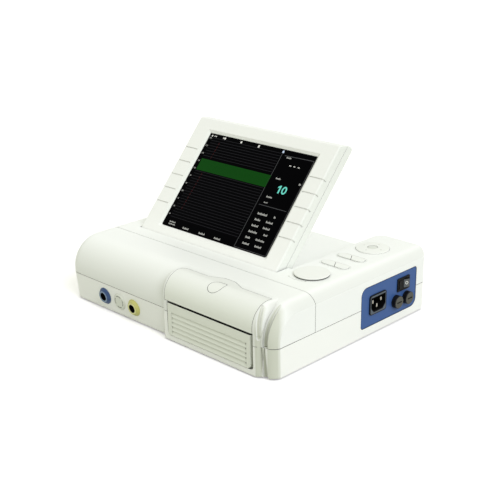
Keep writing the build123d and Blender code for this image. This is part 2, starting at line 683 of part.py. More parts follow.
def display_form(inset=0.0):
    """The folded display as one solid: round hinge end, flat face, rear end slanting outwards."""
    face_z, back_z = CASE_TOP_Z - inset, HINGE_Z - BARREL_R + inset
    top_y, end_y = DISPLAY_TOP_Y - inset, DISPLAY_TOP_Y + DISPLAY_END_OUT - inset
    bend = DISPLAY_END_R
    diagonal = bend * math.sqrt(0.5)
    slant_mid = (top_y + 0.68 * DISPLAY_END_OUT, face_z - 0.42 * DISPLAY_T)
    bend_start, bend_end = (end_y, back_z + bend), (end_y - bend, back_z)
    bend_mid = (end_y - bend + diagonal, back_z + bend - diagonal)
    barrel_side = (HINGE_Y - BARREL_R + inset, HINGE_Z)
    outline = Line((HINGE_Y, face_z), (top_y, face_z)) + ThreePointArc((top_y, face_z), slant_mid, bend_start)
    outline += ThreePointArc(bend_start, bend_mid, bend_end) + Line(bend_end, (HINGE_Y, back_z))
    outline += ThreePointArc((HINGE_Y, back_z), barrel_side, (HINGE_Y, face_z))
    form = side_prism(outline, DISPLAY_X0 + inset, DISPLAY_X1 - inset)
    if inset == 0.0:
        ends = [e for e in form.edges() if abs(e.length - (DISPLAY_X1 - DISPLAY_X0)) > 0.01]
        top_edge = [e for e in form.edges() if abs(e.center().Y - top_y) < 0.01 and abs(e.center().Z - face_z) < 0.01
                    and e not in ends]
        form = fillet(ends + top_edge, DISPLAY_EDGE_R)
    return form


def pin_bores(grow):
    left = bar(DISPLAY_X0 - PIN_OUT, DISPLAY_X0 + PIN_IN, HINGE_Y, HINGE_Z, PIN_R + grow)
    right = bar(DISPLAY_X1 - PIN_IN, DISPLAY_X1 + PIN_OUT, HINGE_Y, HINGE_Z, PIN_R + grow)
    return left, right


def make_bezel():
    face_z = CASE_TOP_Z
    bezel = display_form() & block(-200, 200, -200, 200, HINGE_Z, 100)
    bezel -= block(DISPLAY_X0 + BEZEL_T, DISPLAY_X1 - BEZEL_T, HINGE_Y + 10, DISPLAY_TOP_Y - BEZEL_T,
                   HINGE_Z - 1, face_z - BEZEL_T)
    low = Pos(0, 0, face_z - BEZEL_T - 0.01) * view_outline(0)
    high = Pos(0, 0, face_z + 0.01) * view_outline(BEVEL)
    bezel -= loft([low, high])
    for rise in GROOVE_RISES:
        y0 = VIEW_Y0 + rise - GROOVE_WIDTH / 2
        for inner, outer in ((VIEW_X1 + BEVEL + 1, DISPLAY_X1), (VIEW_X0 - BEVEL - 2, DISPLAY_X0)):
            side = 1 if outer > inner else -1
            ends = sorted((inner, outer + side))
            bezel -= block(*ends, y0, y0 + GROOVE_WIDTH, face_z - GROOVE_DEPTH, face_z + 1)
            ends = sorted((outer - side * GROOVE_DEPTH, outer + side))
            bezel -= block(*ends, y0, y0 + GROOVE_WIDTH, face_z - GROOVE_HOOK, face_z + 1)
    for x, y in DISPLAY_SCREWS:
        bezel += post(x, y, HINGE_Z, face_z - BEZEL_T + 0.1, 3.5)
        bezel -= post(x, y, HINGE_Z - 1, HINGE_Z + 5, SCREW_R)
    for bore in pin_bores(0):
        bezel -= bore
    return bezel


def view_outline(grow):
    """Outline of the screen opening, grown by its bevel: square upper and rounded lower corners."""
    width, height = VIEW_X1 - VIEW_X0 + 2 * grow, VIEW_Y1 - VIEW_Y0 + 2 * grow
    face = Rectangle(width, height)
    face = fillet(face.vertices().sort_by(Axis.Y)[:2], VIEW_CORNER_R)
    return Pos((VIEW_X0 + VIEW_X1) / 2, (VIEW_Y0 + VIEW_Y1) / 2) * face


def make_display_back():
    """Rear half of the display, with a shadow line round its joint to the bezel."""
    back_z = HINGE_Z - BARREL_R
    back = display_form() & block(-200, 200, -200, 200, 0, HINGE_Z)
    joint_line = block(-200, 200, -200, 200, HINGE_Z - SEAM_GAP, HINGE_Z + 1)
    back -= joint_line - display_form(SEAM_DEPTH / 2)
    back -= block(DISPLAY_X0 + BEZEL_T, DISPLAY_X1 - BEZEL_T, HINGE_Y + 12, DISPLAY_TOP_Y - BEZEL_T,
                  back_z + BEZEL_T, HINGE_Z + 1)
    for x, y in DISPLAY_SCREWS:
        back += post(x, y, back_z + 0.5, HINGE_Z, 3.5)
        back -= post(x, y, back_z - 1, back_z + 3.0, SCREW_HEAD_R + 0.2)
        back -= post(x, y, back_z, HINGE_Z + 1, SCREW_R)
    for bore in pin_bores(0):
        back -= bore
    return back


def make_window_and_lcd():
    top = CASE_TOP_Z - BEZEL_T
    lap = WINDOW_LAP
    window = block(VIEW_X0 - lap, VIEW_X1 + lap, VIEW_Y0 - lap, VIEW_Y1 + lap, top - WINDOW_T, top)
    lcd_top = top - WINDOW_T
    lcd = block(VIEW_X0 + 1, VIEW_X1 - 1, VIEW_Y0 + 1, VIEW_Y1 - 1, lcd_top - LCD_T, lcd_top)
    return window, lcd


def make_hinge_brackets():
    """Sheet-metal bearing plates screwed up under the top cover, one outside each well wall."""
    brackets = []
    for x0 in (DISPLAY_X0 - PIN_OUT + 2, DISPLAY_X1 + PIN_OUT - 4.5):
        plate = block(x0, x0 + 2.5, HINGE_Y - 8, HINGE_Y + 8, HINGE_Z - 9, CEILING_Z)
        side = 1 if x0 > 0 else -1
        foot = sorted((x0 + 1, x0 + 1 + side * 4))
        plate += block(*foot, HINGE_Y - 8, HINGE_Y + 8, CEILING_Z - 1.5, CEILING_Z)
        plate -= bar(x0 - 20, x0 + 20, HINGE_Y, HINGE_Z, PIN_R + RUN_FIT)
        brackets.append(plate)
    return brackets


# ---- controls -------------------------------------------------------------------------------
def make_knob():
    """Flat round knob, undercut at its rim, with a hub that reaches down to the encoder spindle."""
    low, top = KNOB_LOW_Z, KNOB_TOP_Z
    dome = ThreePointArc((0, top), (KNOB_R / 2, top - 0.12), (KNOB_R - 0.9, top - 0.4))
    side = Polyline((KNOB_R - 0.9, top - 0.4), (KNOB_R - 0.3, top - 0.7), (KNOB_R, top - 1.2), (KNOB_R - 0.8, low),
                    (KNOB_HUB_R, low), (KNOB_HUB_R, KNOB_HUB_Z), (SPINDLE_R, KNOB_HUB_Z), (SPINDLE_R, top - 1.0),
                    (0, top - 1.0), (0, top))
    profile = make_face(Plane.XZ * (dome + side))
    return Pos(KNOB_X, KNOB_Y, 0) * revolve(profile, Axis.Z)


def make_encoder():
    """Encoder body on the keypad board, its sliding collar and the spindle that turns in it."""
    bush_top = KNOB_HUB_Z - 1.3
    body = Pos(KNOB_X, KNOB_Y, BOARD_TOP_Z + 3) * Box(14, 14, 6)
    body += post(KNOB_X, KNOB_Y, BOARD_TOP_Z + 5.9, bush_top, 4.7)
    body -= post(KNOB_X, KNOB_Y, BOARD_TOP_Z + 1, 90, COLLAR_R + RUN_FIT)
    low = BOARD_TOP_Z + 2.0
    collar = post(KNOB_X, KNOB_Y, low, KNOB_HUB_Z - 0.3, COLLAR_R)
    collar -= post(KNOB_X, KNOB_Y, low - 1, 90, SPINDLE_R + RUN_FIT)
    spindle = post(KNOB_X, KNOB_Y, low, KNOB_TOP_Z - 1.0, SPINDLE_R)
    return body, collar, spindle


def make_keys():
    """Two lozenges, each split by a slanted gap into two keys with flange and stem."""
    keys = []
    for centre in KEY_CENTRES:
        cap = lozenge(centre, 0, FLANGE_Z1 - 0.1, CASE_TOP_Z + KEY_RISE)
        rim = [e for e in cap.edges() if abs(e.center().Z - CASE_TOP_Z - KEY_RISE) < 0.01]
        cap = fillet(rim, 0.6)
        flange = lozenge(centre, CAP_GAP + FLANGE_LAP, FLANGE_Z0, FLANGE_Z1)
        for side in (-1, 1):
            cut = Pos(centre[0], centre[1], 70) * Rot(0, 0, KEY_SPLIT_ANGLE)
            half = cut * Pos(side * (25 + KEY_SPLIT_GAP / 2), 0, 0) * Box(50, 60, 40)
            key = (cap + flange) & half
            key += post(centre[0] + side * 9.5, centre[1], STEM_Z, FLANGE_Z0 + 0.1, 1.8)
            keys.append(key)
    return keys


def make_nav():
    """Slightly domed four-way disc and the round button in its middle."""
    top = NAV_TOP_Z
    rim_z = CASE_TOP_Z + 0.9
    hole = ENTER_R + CAP_GAP
    dome = ThreePointArc((hole, top), (NAV_R * 0.62, top - 0.15), (NAV_R - 0.6, rim_z))
    side = Polyline((NAV_R - 0.6, rim_z), (NAV_R, rim_z - 0.6), (NAV_R, FLANGE_Z1),
                    (NAV_R + CAP_GAP + FLANGE_LAP, FLANGE_Z1), (NAV_R + CAP_GAP + FLANGE_LAP, FLANGE_Z0),
                    (hole, FLANGE_Z0), (hole, top))
    disc = Pos(NAV_X, NAV_Y, 0) * revolve(make_face(Plane.XZ * (dome + side)), Axis.Z)
    for quarter in range(4):
        angle = math.radians(90 * quarter)
        disc += post(NAV_X + 13 * math.cos(angle), NAV_Y + 13 * math.sin(angle), STEM_Z, FLANGE_Z0 + 0.1, 1.8)
    cap = ThreePointArc((0, top + 0.3), (ENTER_R / 2, top + 0.2), (ENTER_R - 0.4, top - 0.1))
    low = FLANGE_Z0 - 1.1
    drop = Polyline((ENTER_R - 0.4, top - 0.1), (ENTER_R, top - 0.5), (ENTER_R, low), (7.4, low),
                    (7.4, low - 1.1), (1.8, low - 1.1), (1.8, STEM_Z), (0, STEM_Z), (0, top + 0.3))
    button = Pos(NAV_X, NAV_Y, 0) * revolve(make_face(Plane.XZ * (cap + drop)), Axis.Z)
    return disc, button


def make_keypad_board():
    x0, x1, y0, y1 = KEYPAD_BOARD
    board = block(x0, x1, y0, y1, BOARD_TOP_Z - BOARD_T, BOARD_TOP_Z)
    domes = [(x + side * 9.5, y) for x, y in KEY_CENTRES for side in (-1, 1)]
    for quarter in range(4):
        angle = math.radians(90 * quarter)
        domes.append((NAV_X + 13 * math.cos(angle), NAV_Y + 13 * math.sin(angle)))
    domes.append((NAV_X, NAV_Y))
    for x, y in domes:
        board += post(x, y, BOARD_TOP_Z - 0.1, BOARD_TOP_Z + 0.4, 3.0)
    return board


# ---- mains panel ----------------------------------------------------------------------------
def make_side_panel():
    inner_x = SIDE_X - WALL
    panel = rounded_panel(0, inner_x, PANEL_FACE_X)
    panel += rounded_panel(PANEL_FLANGE, inner_x - 1.6, inner_x)
    panel -= inlet_outline(INLET_WALL, inner_x - 5, SIDE_X + 5)
    panel -= side_rectangle(SWITCH_Y, SWITCH_Z, SWITCH_SIZE[0] - 2.4, SWITCH_SIZE[1] - 2.4, 0.5,
                            inner_x - 5, SIDE_X + 5)
    for y, z in FUSE_PLACES:
        panel -= bar(inner_x - 5, SIDE_X + 5, y, z, FUSE_CAP_R - 0.8)
    return panel


def inlet_outline(grow, x0, x1):
    """Mains inlet outline: a rectangle with its two lower corners cut off."""
    width, height = INLET_SIZE
    y0, y1 = INLET_Y - width / 2 - grow, INLET_Y + width / 2 + grow
    z0, z1 = INLET_Z - height / 2 - grow, INLET_Z + height / 2 + grow
    cut = INLET_CHAMFER + grow * 0.4
    outline = Polyline((y0, z1), (y0, z0 + cut), (y0 + cut, z0), (y1 - cut, z0), (y1, z0 + cut), (y1, z1), close=True)
    return side_prism(outline, x0, x1)


def make_inlet():
    """Inlet housing with its flange, and the three flat pins inside."""
    mouth = PANEL_FACE_X + 1.2
    back = mouth - INLET_DEPTH
    body = inlet_outline(INLET_WALL, back - 3.0, mouth)
    body += side_rectangle(INLET_Y, INLET_Z, 28.4, 22.3, 3.0, PANEL_FACE_X, mouth)
    body -= inlet_outline(0, back, mouth + 5)
    pins = []
    for y, z in ((INLET_Y, INLET_Z - 3.2), (INLET_Y - INLET_PIN_PITCH, INLET_Z + 2.5),
                 (INLET_Y + INLET_PIN_PITCH, INLET_Z + 2.5)):
        pin = block(back - 9, mouth - 1.5, y - 1, y + 1, z - 2, z + 2)
        pin = chamfer(pin.faces().sort_by(Axis.X)[-1].edges(), 0.5)
        pins.append(pin)
        body -= block(back - 10, back + 1, y - 1, y + 1, z - 2, z + 2)
    return body, pins


def make_switch():
    """Snap-in frame and the rocker that pivots in it about an upright pin line."""
    width, height = SWITCH_SIZE
    face_x = PANEL_FACE_X + 1.2
    frame = side_rectangle(SWITCH_Y, SWITCH_Z, width, height, 1.0, PANEL_FACE_X, face_x)
    frame += side_rectangle(SWITCH_Y, SWITCH_Z, width - 2.4, height - 2.4, 0.5, PANEL_FACE_X - 15, PANEL_FACE_X)
    frame -= block(PANEL_FACE_X - 11, face_x + 1, SWITCH_Y - 8.85, SWITCH_Y + 8.85, SWITCH_Z - 5.1, SWITCH_Z + 5.1)
    frame -= post(ROCKER_PIVOT_X, SWITCH_Y, SWITCH_Z - 8, SWITCH_Z + 8, ROCKER_PIN_R + RUN_FIT)
    outline = Polyline((-4, -3), (1.5, -7.8), (6.0, -7.8), (4.2, 0), (6.0, 7.8), (1.5, 7.8), (-4, 3), close=True)
    rocker = extrude(make_face(outline), amount=9.6)
    rocker = Pos(ROCKER_PIVOT_X, SWITCH_Y, SWITCH_Z - 4.8) * Rot(0, 0, -ROCKER_TILT) * rocker
    rocker += post(ROCKER_PIVOT_X, SWITCH_Y, SWITCH_Z - 6.2, SWITCH_Z + 6.2, ROCKER_PIN_R)
    return frame, rocker


def make_fuse_set(y, z):
    """Fuse holder tube, its screwdriver cap and the glass fuse that comes out with the cap."""
    face_x = PANEL_FACE_X + 0.9
    holder = bar(PANEL_FACE_X - 34, PANEL_FACE_X, y, z, FUSE_CAP_R - 0.8)
    holder += bar(PANEL_FACE_X, face_x, y, z, FUSE_CAP_R)
    holder -= bar(PANEL_FACE_X - 30, face_x + 1, y, z, 5.3)
    cap_x = PANEL_FACE_X + FUSE_CAP_OUT
    cap = bar(face_x + 0.2, cap_x, y, z, FUSE_CAP_R)
    cap = chamfer(cap.faces().sort_by(Axis.X)[-1].edges(), 0.5)
    cap += bar(PANEL_FACE_X - 10, face_x + 0.3, y, z, 5.2)
    cap -= bar(PANEL_FACE_X - 11, PANEL_FACE_X - 5, y, z, 2.6)
    cap -= block(cap_x - 1.3, cap_x + 1, y - 4, y + 4, z - 0.7, z + 0.7)
    link = bar(PANEL_FACE_X - 25, PANEL_FACE_X - 5, y, z, 2.6)
    return holder, cap, link


# ---- probe sockets --------------------------------------------------------------------------
def make_probe_socket():
    """Round socket: tapered collar on the wall, body behind it, open bore and contact floor."""
    profile = ((SOCKET_BORE_R, SOCKET_OUT), (SOCKET_FACE_R, SOCKET_OUT), (SOCKET_R - 0.6, 0.8),
               (SOCKET_R, 0.0), (SOCKET_BODY_R, 0.0), (SOCKET_BODY_R, -SOCKET_BODY_DEPTH),
               (0, -SOCKET_BODY_DEPTH), (0, SOCKET_OUT - SOCKET_FREE), (SOCKET_BORE_R, SOCKET_OUT - SOCKET_FREE))
    socket = turned(profile, Pos(0, 0, 0))
    for contact in contact_rods():
        socket -= contact
    return socket


def contact_rods():
    """Contacts of one socket: a centre one and a ring, in the socket's own frame."""
    floor = SOCKET_OUT - SOCKET_FREE
    places = [(0, 0)] + ring_places(2.8, 5)
    length = floor + SOCKET_BODY_DEPTH + 3
    return [Pos(x, y, floor - length / 2) * Cylinder(0.55, length) for x, y in places]


def ring_places(radius, count):
    angles = [2 * math.pi * step / count for step in range(count)]
    return [(radius * math.cos(a), radius * math.sin(a)) for a in angles]


def make_socket_blank():
    """Blanking disc with four arc slits round its middle."""
    profile = ((0, 1.2), (SOCKET_R - 1.6, 1.2), (SOCKET_R, 0.0), (SOCKET_BODY_R, 0.0),
               (SOCKET_BODY_R, -5.0), (0, -5.0))
    blank = turned(profile, Pos(0, 0, 0))
    ring = Pos(0, 0, 1.2) * (Cylinder(7.0, 1.2) - Cylinder(6.3, 2.0))
    bridges = Box(30, 3, 3) + Box(3, 30, 3)
    return blank - (ring - Rot(0, 0, 45) * Pos(0, 0, 1.2) * bridges)


# ---- electronics, feet and fasteners --------------------------------------------------------
def make_main_board():
    x0, x1, y0, y1 = MAIN_BOARD
    board = block(x0, x1, y0, y1, BOARD_FLOOR_Z, BOARD_FLOOR_Z + BOARD_T)
    top = BOARD_FLOOR_Z + BOARD_T
    board += block(x0 + 50, x0 + 78, y0 + 60, y0 + 88, top, top + 2.5)
    for row in range(4):
        board += block(x0 + 20 + 22 * row, x0 + 36 + 22 * row, y0 + 24, y0 + 32, top, top + 1.6)
    for x in (x0 + 24, x1 - 40):
        board += block(x, x + 26, y0 + 2, y0 + 8, top, top + 8)
    return board


def make_power_board():
    x0, x1, y0, y1 = POWER_BOARD
    top = BOARD_FLOOR_Z + BOARD_T
    board = block(x0, x1, y0, y1, BOARD_FLOOR_Z, top)
    for x, y in ((x0 + 14, y0 + 84), (x0 + 34, y0 + 84)):
        board += post(x, y, top, top + 24, 8.0)
    board += block(x1 - 22, x1 - 18, y0 + 12, y0 + 62, top, top + 22)
    core = block(x0 + 18, x0 + 60, y0 + 14, y0 + 22, top, top + 28)
    core += block(x0 + 18, x0 + 60, y0 + 48, y0 + 56, top, top + 28)
    core += block(x0 + 34, x0 + 44, y0 + 22, y0 + 48, top + 4, top + 28)
    winding = Pos(x0 + 39, y0 + 35, top + 16) * (Box(30, 25.6, 22) - Box(10, 26, 24))
    core -= winding
    return board, core + winding


def make_speaker():
    """Loudspeaker facing the slots in the base: rim, cone frame and magnet."""
    z = FLOOR_Z
    profile = ((0, z + 19), (11, z + 19), (11, z + 12), (8, z + 12), (8, z + 9), (19, z + 2), (SPEAKER_R, z + 2),
               (SPEAKER_R, z), (18, z), (18, z + 1), (7, z + 8), (0, z + 8))
    return turned(profile, Pos(SPEAKER_X, SPEAKER_Y, 0))


def make_screws(places, head_z, head_h, length):
    """Pan-head screws driven upwards, their heads at head_z."""
    screws = []
    for x, y in places:
        head = post(x, y, head_z, head_z + head_h, SCREW_HEAD_R)
        drive = Pos(x, y, head_z) * (Box(3.4, 0.7, 2.0) + Box(0.7, 3.4, 2.0))
        screws.append(head + post(x, y, head_z + head_h, head_z + length, SCREW_R) - drive)
    return screws


def make_feet():
    feet = []
    for x, y in FEET:
        pad = post(x, y, 0, BASE_Z, FOOT_R)
        pad = chamfer(pad.faces().sort_by(Axis.Z)[0].edges(), 0.5)
        feet.append(pad + post(x, y, BASE_Z, FLOOR_Z, FOOT_PEG_R))
    return feet


def main():
    os.makedirs("parts", exist_ok=True)
    outer, inner, shell = shell_solid()
    save("bottom_case", make_bottom_case(outer, shell))
    save("front_cover", make_front_cover(outer, inner, shell))
    save("rear_cover", make_rear_cover(outer, inner, shell))
    save("printer_cover", make_printer_cover())
    save("release_button", make_release_button())

    save("paper_drawer", make_paper_drawer())
    roller, platen_gear = make_platen()
    save("platen_roller", roller)
    save("platen_gear", platen_gear)
    idler, axle = make_idler()
    save("idler_gear", idler)
    save("idler_axle", axle)
    save("feed_motor", make_feed_motor())
    save("motor_pinion", make_motor_pinion())
    head, sink = make_print_head()
    save("print_head", head)
    save("head_heatsink", sink)
    save("paper_pack", make_paper_pack())

    save("display_bezel", open_display(make_bezel()))
    save("display_back", open_display(make_display_back()))
    window, lcd = make_window_and_lcd()
    save("display_window", open_display(window))
    save("lcd_panel", open_display(lcd))
    for side, pin in zip(("left", "right"), pin_bores(0)):
        save(f"hinge_pin_{side}", open_display(pin))
    for side, bracket in zip(("left", "right"), make_hinge_brackets()):
        save(f"hinge_bracket_{side}", bracket)
    screws = make_screws(DISPLAY_SCREWS, HINGE_Z - BARREL_R + 0.8, 2.0, 14.0)
    save("display_screws", *[open_display(screw) for screw in screws])

    save("rotary_knob", make_knob())
    body, collar, spindle = make_encoder()
    save("encoder_body", body)
    save("encoder_collar", collar)
    save("encoder_spindle", spindle)
    for number, key in enumerate(make_keys(), start=1):
        save(f"key_{number}", key)
    disc, button = make_nav()
    save("nav_disc", disc)
    save("enter_button", button)
    save("keypad_board", make_keypad_board())

    save("side_panel", make_side_panel())
    inlet, pins = make_inlet()
    save("inlet_body", inlet)
    save("inlet_pins", *pins)
    frame, rocker = make_switch()
    save("switch_frame", frame)
    save("switch_rocker", rocker)
    for number, place in enumerate(FUSE_PLACES, start=1):
        holder, cap, link = make_fuse_set(*place)
        save(f"fuse_holder_{number}", holder)
        save(f"fuse_cap_{number}", cap)
        save(f"fuse_link_{number}", link)

    for colour in ("blue", "yellow"):
        place = socket_place(SOCKET_XS[colour])
        save(f"probe_socket_{colour}", place * make_probe_socket())
        save(f"contact_set_{colour}", *[place * rod for rod in contact_rods()])
    save("socket_blank", socket_place(SOCKET_XS["blank"]) * make_socket_blank())

    save("main_board", make_main_board())
    board, transformer = make_power_board()
    save("power_board", board)
    save("power_transformer", transformer)
    save("speaker", make_speaker())
    save("case_screws", *make_screws(BOSSES, BASE_Z + 1.2, 2.0, 38.0))
    save("rubber_feet", *make_feet())


if __name__ == "__main__":
    main()
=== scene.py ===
import math

import bmesh
import bpy
from mathutils import Matrix, Vector


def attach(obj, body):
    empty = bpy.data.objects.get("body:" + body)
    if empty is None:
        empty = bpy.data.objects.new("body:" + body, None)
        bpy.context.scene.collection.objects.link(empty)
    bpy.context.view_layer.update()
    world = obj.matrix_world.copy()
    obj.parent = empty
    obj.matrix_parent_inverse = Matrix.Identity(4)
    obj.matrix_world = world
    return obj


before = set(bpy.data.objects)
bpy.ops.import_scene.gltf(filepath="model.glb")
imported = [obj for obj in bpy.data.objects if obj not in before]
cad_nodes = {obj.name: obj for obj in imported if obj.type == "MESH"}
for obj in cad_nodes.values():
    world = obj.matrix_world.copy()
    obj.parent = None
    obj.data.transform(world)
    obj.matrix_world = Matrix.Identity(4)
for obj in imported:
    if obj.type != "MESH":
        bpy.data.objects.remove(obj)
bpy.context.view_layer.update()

# Finishes for the monitor's solids, some with painted shade and light, and the thin prints, trims and
# inserts that they don't have. Some thin pieces are painted shadows in the paper slot, at the
# louvres' ends, in the disc's slits, in the socket bores and round the keys, and one is painted light
# on the rocker.
MM = 0.001

# Places are millimetres about the middle of the case. FRAME_SHIFT moves them into the part's frame.
FRAME_SHIFT = Vector((-2.6, 1.75, 0.0))
LAYOUT = Matrix.Scale(MM, 4) @ Matrix.Translation(FRAME_SHIFT)

# Camera: its place in metres and its three directions, in the part's frame; lens and sensor in mm.
CAMERA_PLACE = (0.75437, -0.76096, 0.45564)
CAMERA_RIGHT = (0.71607522, 0.69792128, -0.01192327)
CAMERA_UP = (-0.23122788, 0.25329028, 0.93934962)
CAMERA_BACK = (0.65861213, -0.66988799, 0.34275375)
CAMERA_LENS = 72.72
CAMERA_SENSOR = 36.0
CAMERA_CLIP = (0.01, 100.0)

# Display. It is laid out folded into the case top, then turned up about its hinge.
CASE_TOP_Z = 73.9
HINGE_Y = -41.03
HINGE_Z = 62.9
DISPLAY_TILT = math.radians(48.6)
BARREL_TO_SCREEN = 16.4
WINDOW_SINK = 2.4
SCREEN_CORNER = (-100.8, HINGE_Y + BARREL_TO_SCREEN)
WINDOW_Z = CASE_TOP_Z - WINDOW_SINK

# Control platform: keys, four-way disc, and the mark beside the knob. The line of painted shade round
# a pair of keys lies between two distances from them, the inner and the outer. NAV_ARROW has the
# corners of an arrow, as (outwards, to the side). Angles are in degrees.
PRINT_T = 0.05
KEY_SIZE = (34.5, 11.0)
KEY_CENTRES = ((121.5, 11.7), (121.1, 39.6))
KEY_SHADE_OFFSETS = (1.7, 2.1)
NAV_CENTRE = (119.5, 78.5)
NAV_MARK_Z = 75.15
NAV_MARK_R = 11.66
NAV_ARROW = ((-0.7, -1.2), (0.8, 0.0), (-0.7, 1.2))
TURN_CENTRE = (117.8, -26.0)
TURN_R = 22.4
TURN_START = -116.0
TURN_END = -60.0
TURN_WIDTH = 0.35
TURN_DOT_R = 0.9
TURN_DOT_GAP = 2.0

# Mains panel on the right side, as (Y, Z): its gasket line, and its inlet, with the half width and
# half height of the grey trim and of the mouth inside it.
PANEL_FACE_X = 161.0
PANEL_Y = (7.2, 104.5)
PANEL_Z = (10.9, 57.2)
PANEL_BIG_R = 9.0
PANEL_SMALL_R = 4.0
GASKET_INSETS = (0.15, 0.95)
GASKET_T = 0.1
FLANGE_T = 1.2
INLET = (35.3, 34.5)
TRIM_HALF = (13.2, 10.2)
TRIM_R = 2.4
TRIM_T = 0.12
MOUTH_HALF = (12.35, 8.6)
MOUTH_CUT = 4.8

# Rocker switch, as (Y, Z), with a grey face that paints light on its rear rocking face, which stands
# proud and catches the light, and the off mark on that face. The ridge and the end of that face are
# measured from the pivot.
SWITCH = (80.15, 43.3)
ROCKER_PIVOT_DEPTH = 3.0
ROCKER_TILT = math.radians(-8.0)
ROCKER_RIDGE_X = 4.2
ROCKER_END = (6.0, 7.8)
LIT_FACE_EDGE = 0.3
LIT_FACE_HEIGHT = 9.2
LIT_FACE_T = 0.2
OFF_MARK_RADII = (1.9, 1.2)
OFF_MARK_RISE = 0.4
OFF_MARK_T = 0.06

# Drawer front: a dark strip along its top edge, which paints the shadow in the paper slot, and a dark
# block at the right end of each louvre, which paints the shadow there. LOUVRE_END is the right end of
# the first louvre, as (X, Z), and each next one is a pitch lower.
SLOT_STRIP_X = (13.6, 133.0)
SLOT_STRIP_Y = (-130.1, -128.6)
SLOT_STRIP_Z = 43.8
SLOT_STRIP_T = 0.2
LOUVRE_COUNT = 5
LOUVRE_END = (128.4, 33.9)
LOUVRE_PITCH = 5.15
LOUVRE_FLOOR_Y = -128.9
END_SHADOW_WIDTH = 1.1
END_SHADOW_HEIGHT = 1.5
END_SHADOW_DEPTH = 1.5

# Front wall of the lower case, which leans in from the parting line at PART_Z down to the base.
FRONT_Y = -127.0
FRONT_DRAFT = 3.4
PART_Z = 33.9
BASE_Z = 1.5

# Probe sockets on that wall. Heights on a socket are measured out of the wall; the mouth has a pale
# ring, and the bore has a dark cup, which paints the shadow in the deep bore, with a contact hole in
# the middle and others on a circle.
SOCKET_Z = 18.0
SOCKET_XS = {"blue": -99.5, "yellow": -49.0}
SOCKET_MOUTH = 3.2
SOCKET_DEPTH = 9.0
SOCKET_FLOOR = SOCKET_MOUTH - SOCKET_DEPTH
SOCKET_BORE_R = 4.8
RING_INNER_R = SOCKET_BORE_R + 0.1
RING_OUTER_R = SOCKET_BORE_R + 1.8
RING_RISE = 0.35
RING_BEVEL = 0.2
CUP_OUTER_R = SOCKET_BORE_R - 0.02
CUP_INNER_R = SOCKET_BORE_R - 0.25
CUP_RISE = 0.1
CUP_FLOOR_R = SOCKET_BORE_R - 0.2
CUP_FLOOR_T = 0.2
CUP_FLOOR_LIFT = 0.12
CONTACT_COUNT = 5
CONTACT_CIRCLE_R = 2.8
CONTACT_HOLE_R = 0.65

# Blanking disc between the sockets: a dark sheet in two of its slits paints the shadow in them.
# Angles are in degrees.
BLANK_X = -74.0
SLIT_R = 6.65
SLIT_WIDTH = 0.6
SLIT_SPAN = 44.0
SLIT_STARTS = (72.0, 246.0)
SLIT_SHADOW_Z = 0.66
SLIT_SHADOW_T = 0.1


def colour(red, green, blue):
    """A linear colour from the usual 0 to 255 values."""
    def linear(value):
        share = value / 255
        return share / 12.92 if share <= 0.04045 else ((share + 0.055) / 1.055) ** 2.4
    return (linear(red), linear(green), linear(blue), 1.0)


# ---- shader groups ------------------------------------------------------------------------------
# Scale and detail of each noise. Scales are in cells per metre; the lines' is times their stretch,
# and the grain's comes from its size.
GRAIN_DETAIL = 3.0
SLOW_NOISE = (14.0, 2.0)
HANDLING_NOISE = (160.0, 3.0)
LINE_NOISE = (4.0, 2.0)
BACKLIGHT_NOISE = (18.0, 1.0)

# How far the grain swings the roughness, how sharply a rounded edge shows, and from where to where
# on the handling noise the wear comes in.
GRAIN_ROUGHNESS = 0.12
EDGE_GAIN = 6.0
HANDLED = (0.4, 0.62)

# Darkest and lightest tone of drawn metal and of the backlight; a screen cell's lit share of its
# pitch, the level of the gap round it, and how much brighter the cell is.
LINE_TONES = (0.88, 1.08)
BACKLIGHT_TONES = (0.95, 1.15)
CELL_SHARE = 0.86
CELL_GAP_LEVEL = 0.72
CELL_LIT_GAIN = 0.3

BEVEL_SAMPLES = 4
OPEN_SAMPLES = 6


def new_group(name, inputs, outputs):
    """An empty shader group with its sockets: inputs and outputs map a name to (type, default)."""
    group = bpy.data.node_groups.new(name, "ShaderNodeTree")
    for in_out, sockets in (("INPUT", inputs), ("OUTPUT", outputs)):
        for label, (kind, default) in sockets.items():
            socket = group.interface.new_socket(label, in_out=in_out, socket_type="NodeSocket" + kind)
            if default is not None:
                socket.default_value = default
    return group, group.nodes.new("NodeGroupInput"), group.nodes.new("NodeGroupOutput")


def node(tree, kind, values=None, **settings):
    """One node in a tree; values sets its inputs, and a value that is a socket is linked."""
    made = tree.nodes.new("ShaderNode" + kind)
    for key, value in settings.items():
        setattr(made, key, value)
    for key, value in (values or {}).items():
        if isinstance(value, bpy.types.NodeSocket):
            tree.links.new(value, made.inputs[key])
        else:
            made.inputs[key].default_value = value
    return made


def maths(tree, operation, first, second, clamp=False):
    """One step of arithmetic with two values or sockets."""
    return node(tree, "Math", {0: first, 1: second}, operation=operation, use_clamp=clamp).outputs[0]


def scaled(tree, vector, factor):
    """A vector or colour times a value."""
    return node(tree, "VectorMath", {0: vector, "Scale": factor}, operation="SCALE").outputs[0]


def noise(tree, place, scale, detail):
    return node(tree, "TexNoise", {"Vector": place, "Scale": scale, "Detail": detail}).outputs["Fac"]


def spread(tree, value, low, high):
    """A value from 0 to 1 spread over low to high."""
    return node(tree, "MapRange", {"Value": value, "To Min": low, "To Max": high}).outputs["Result"]


def ramp(tree, value, start, end):
    """0 at start, 1 at end, and straight between them."""
    made = node(tree, "MapRange", {"Value": value, "From Min": start, "From Max": end})
    return made.outputs["Result"]


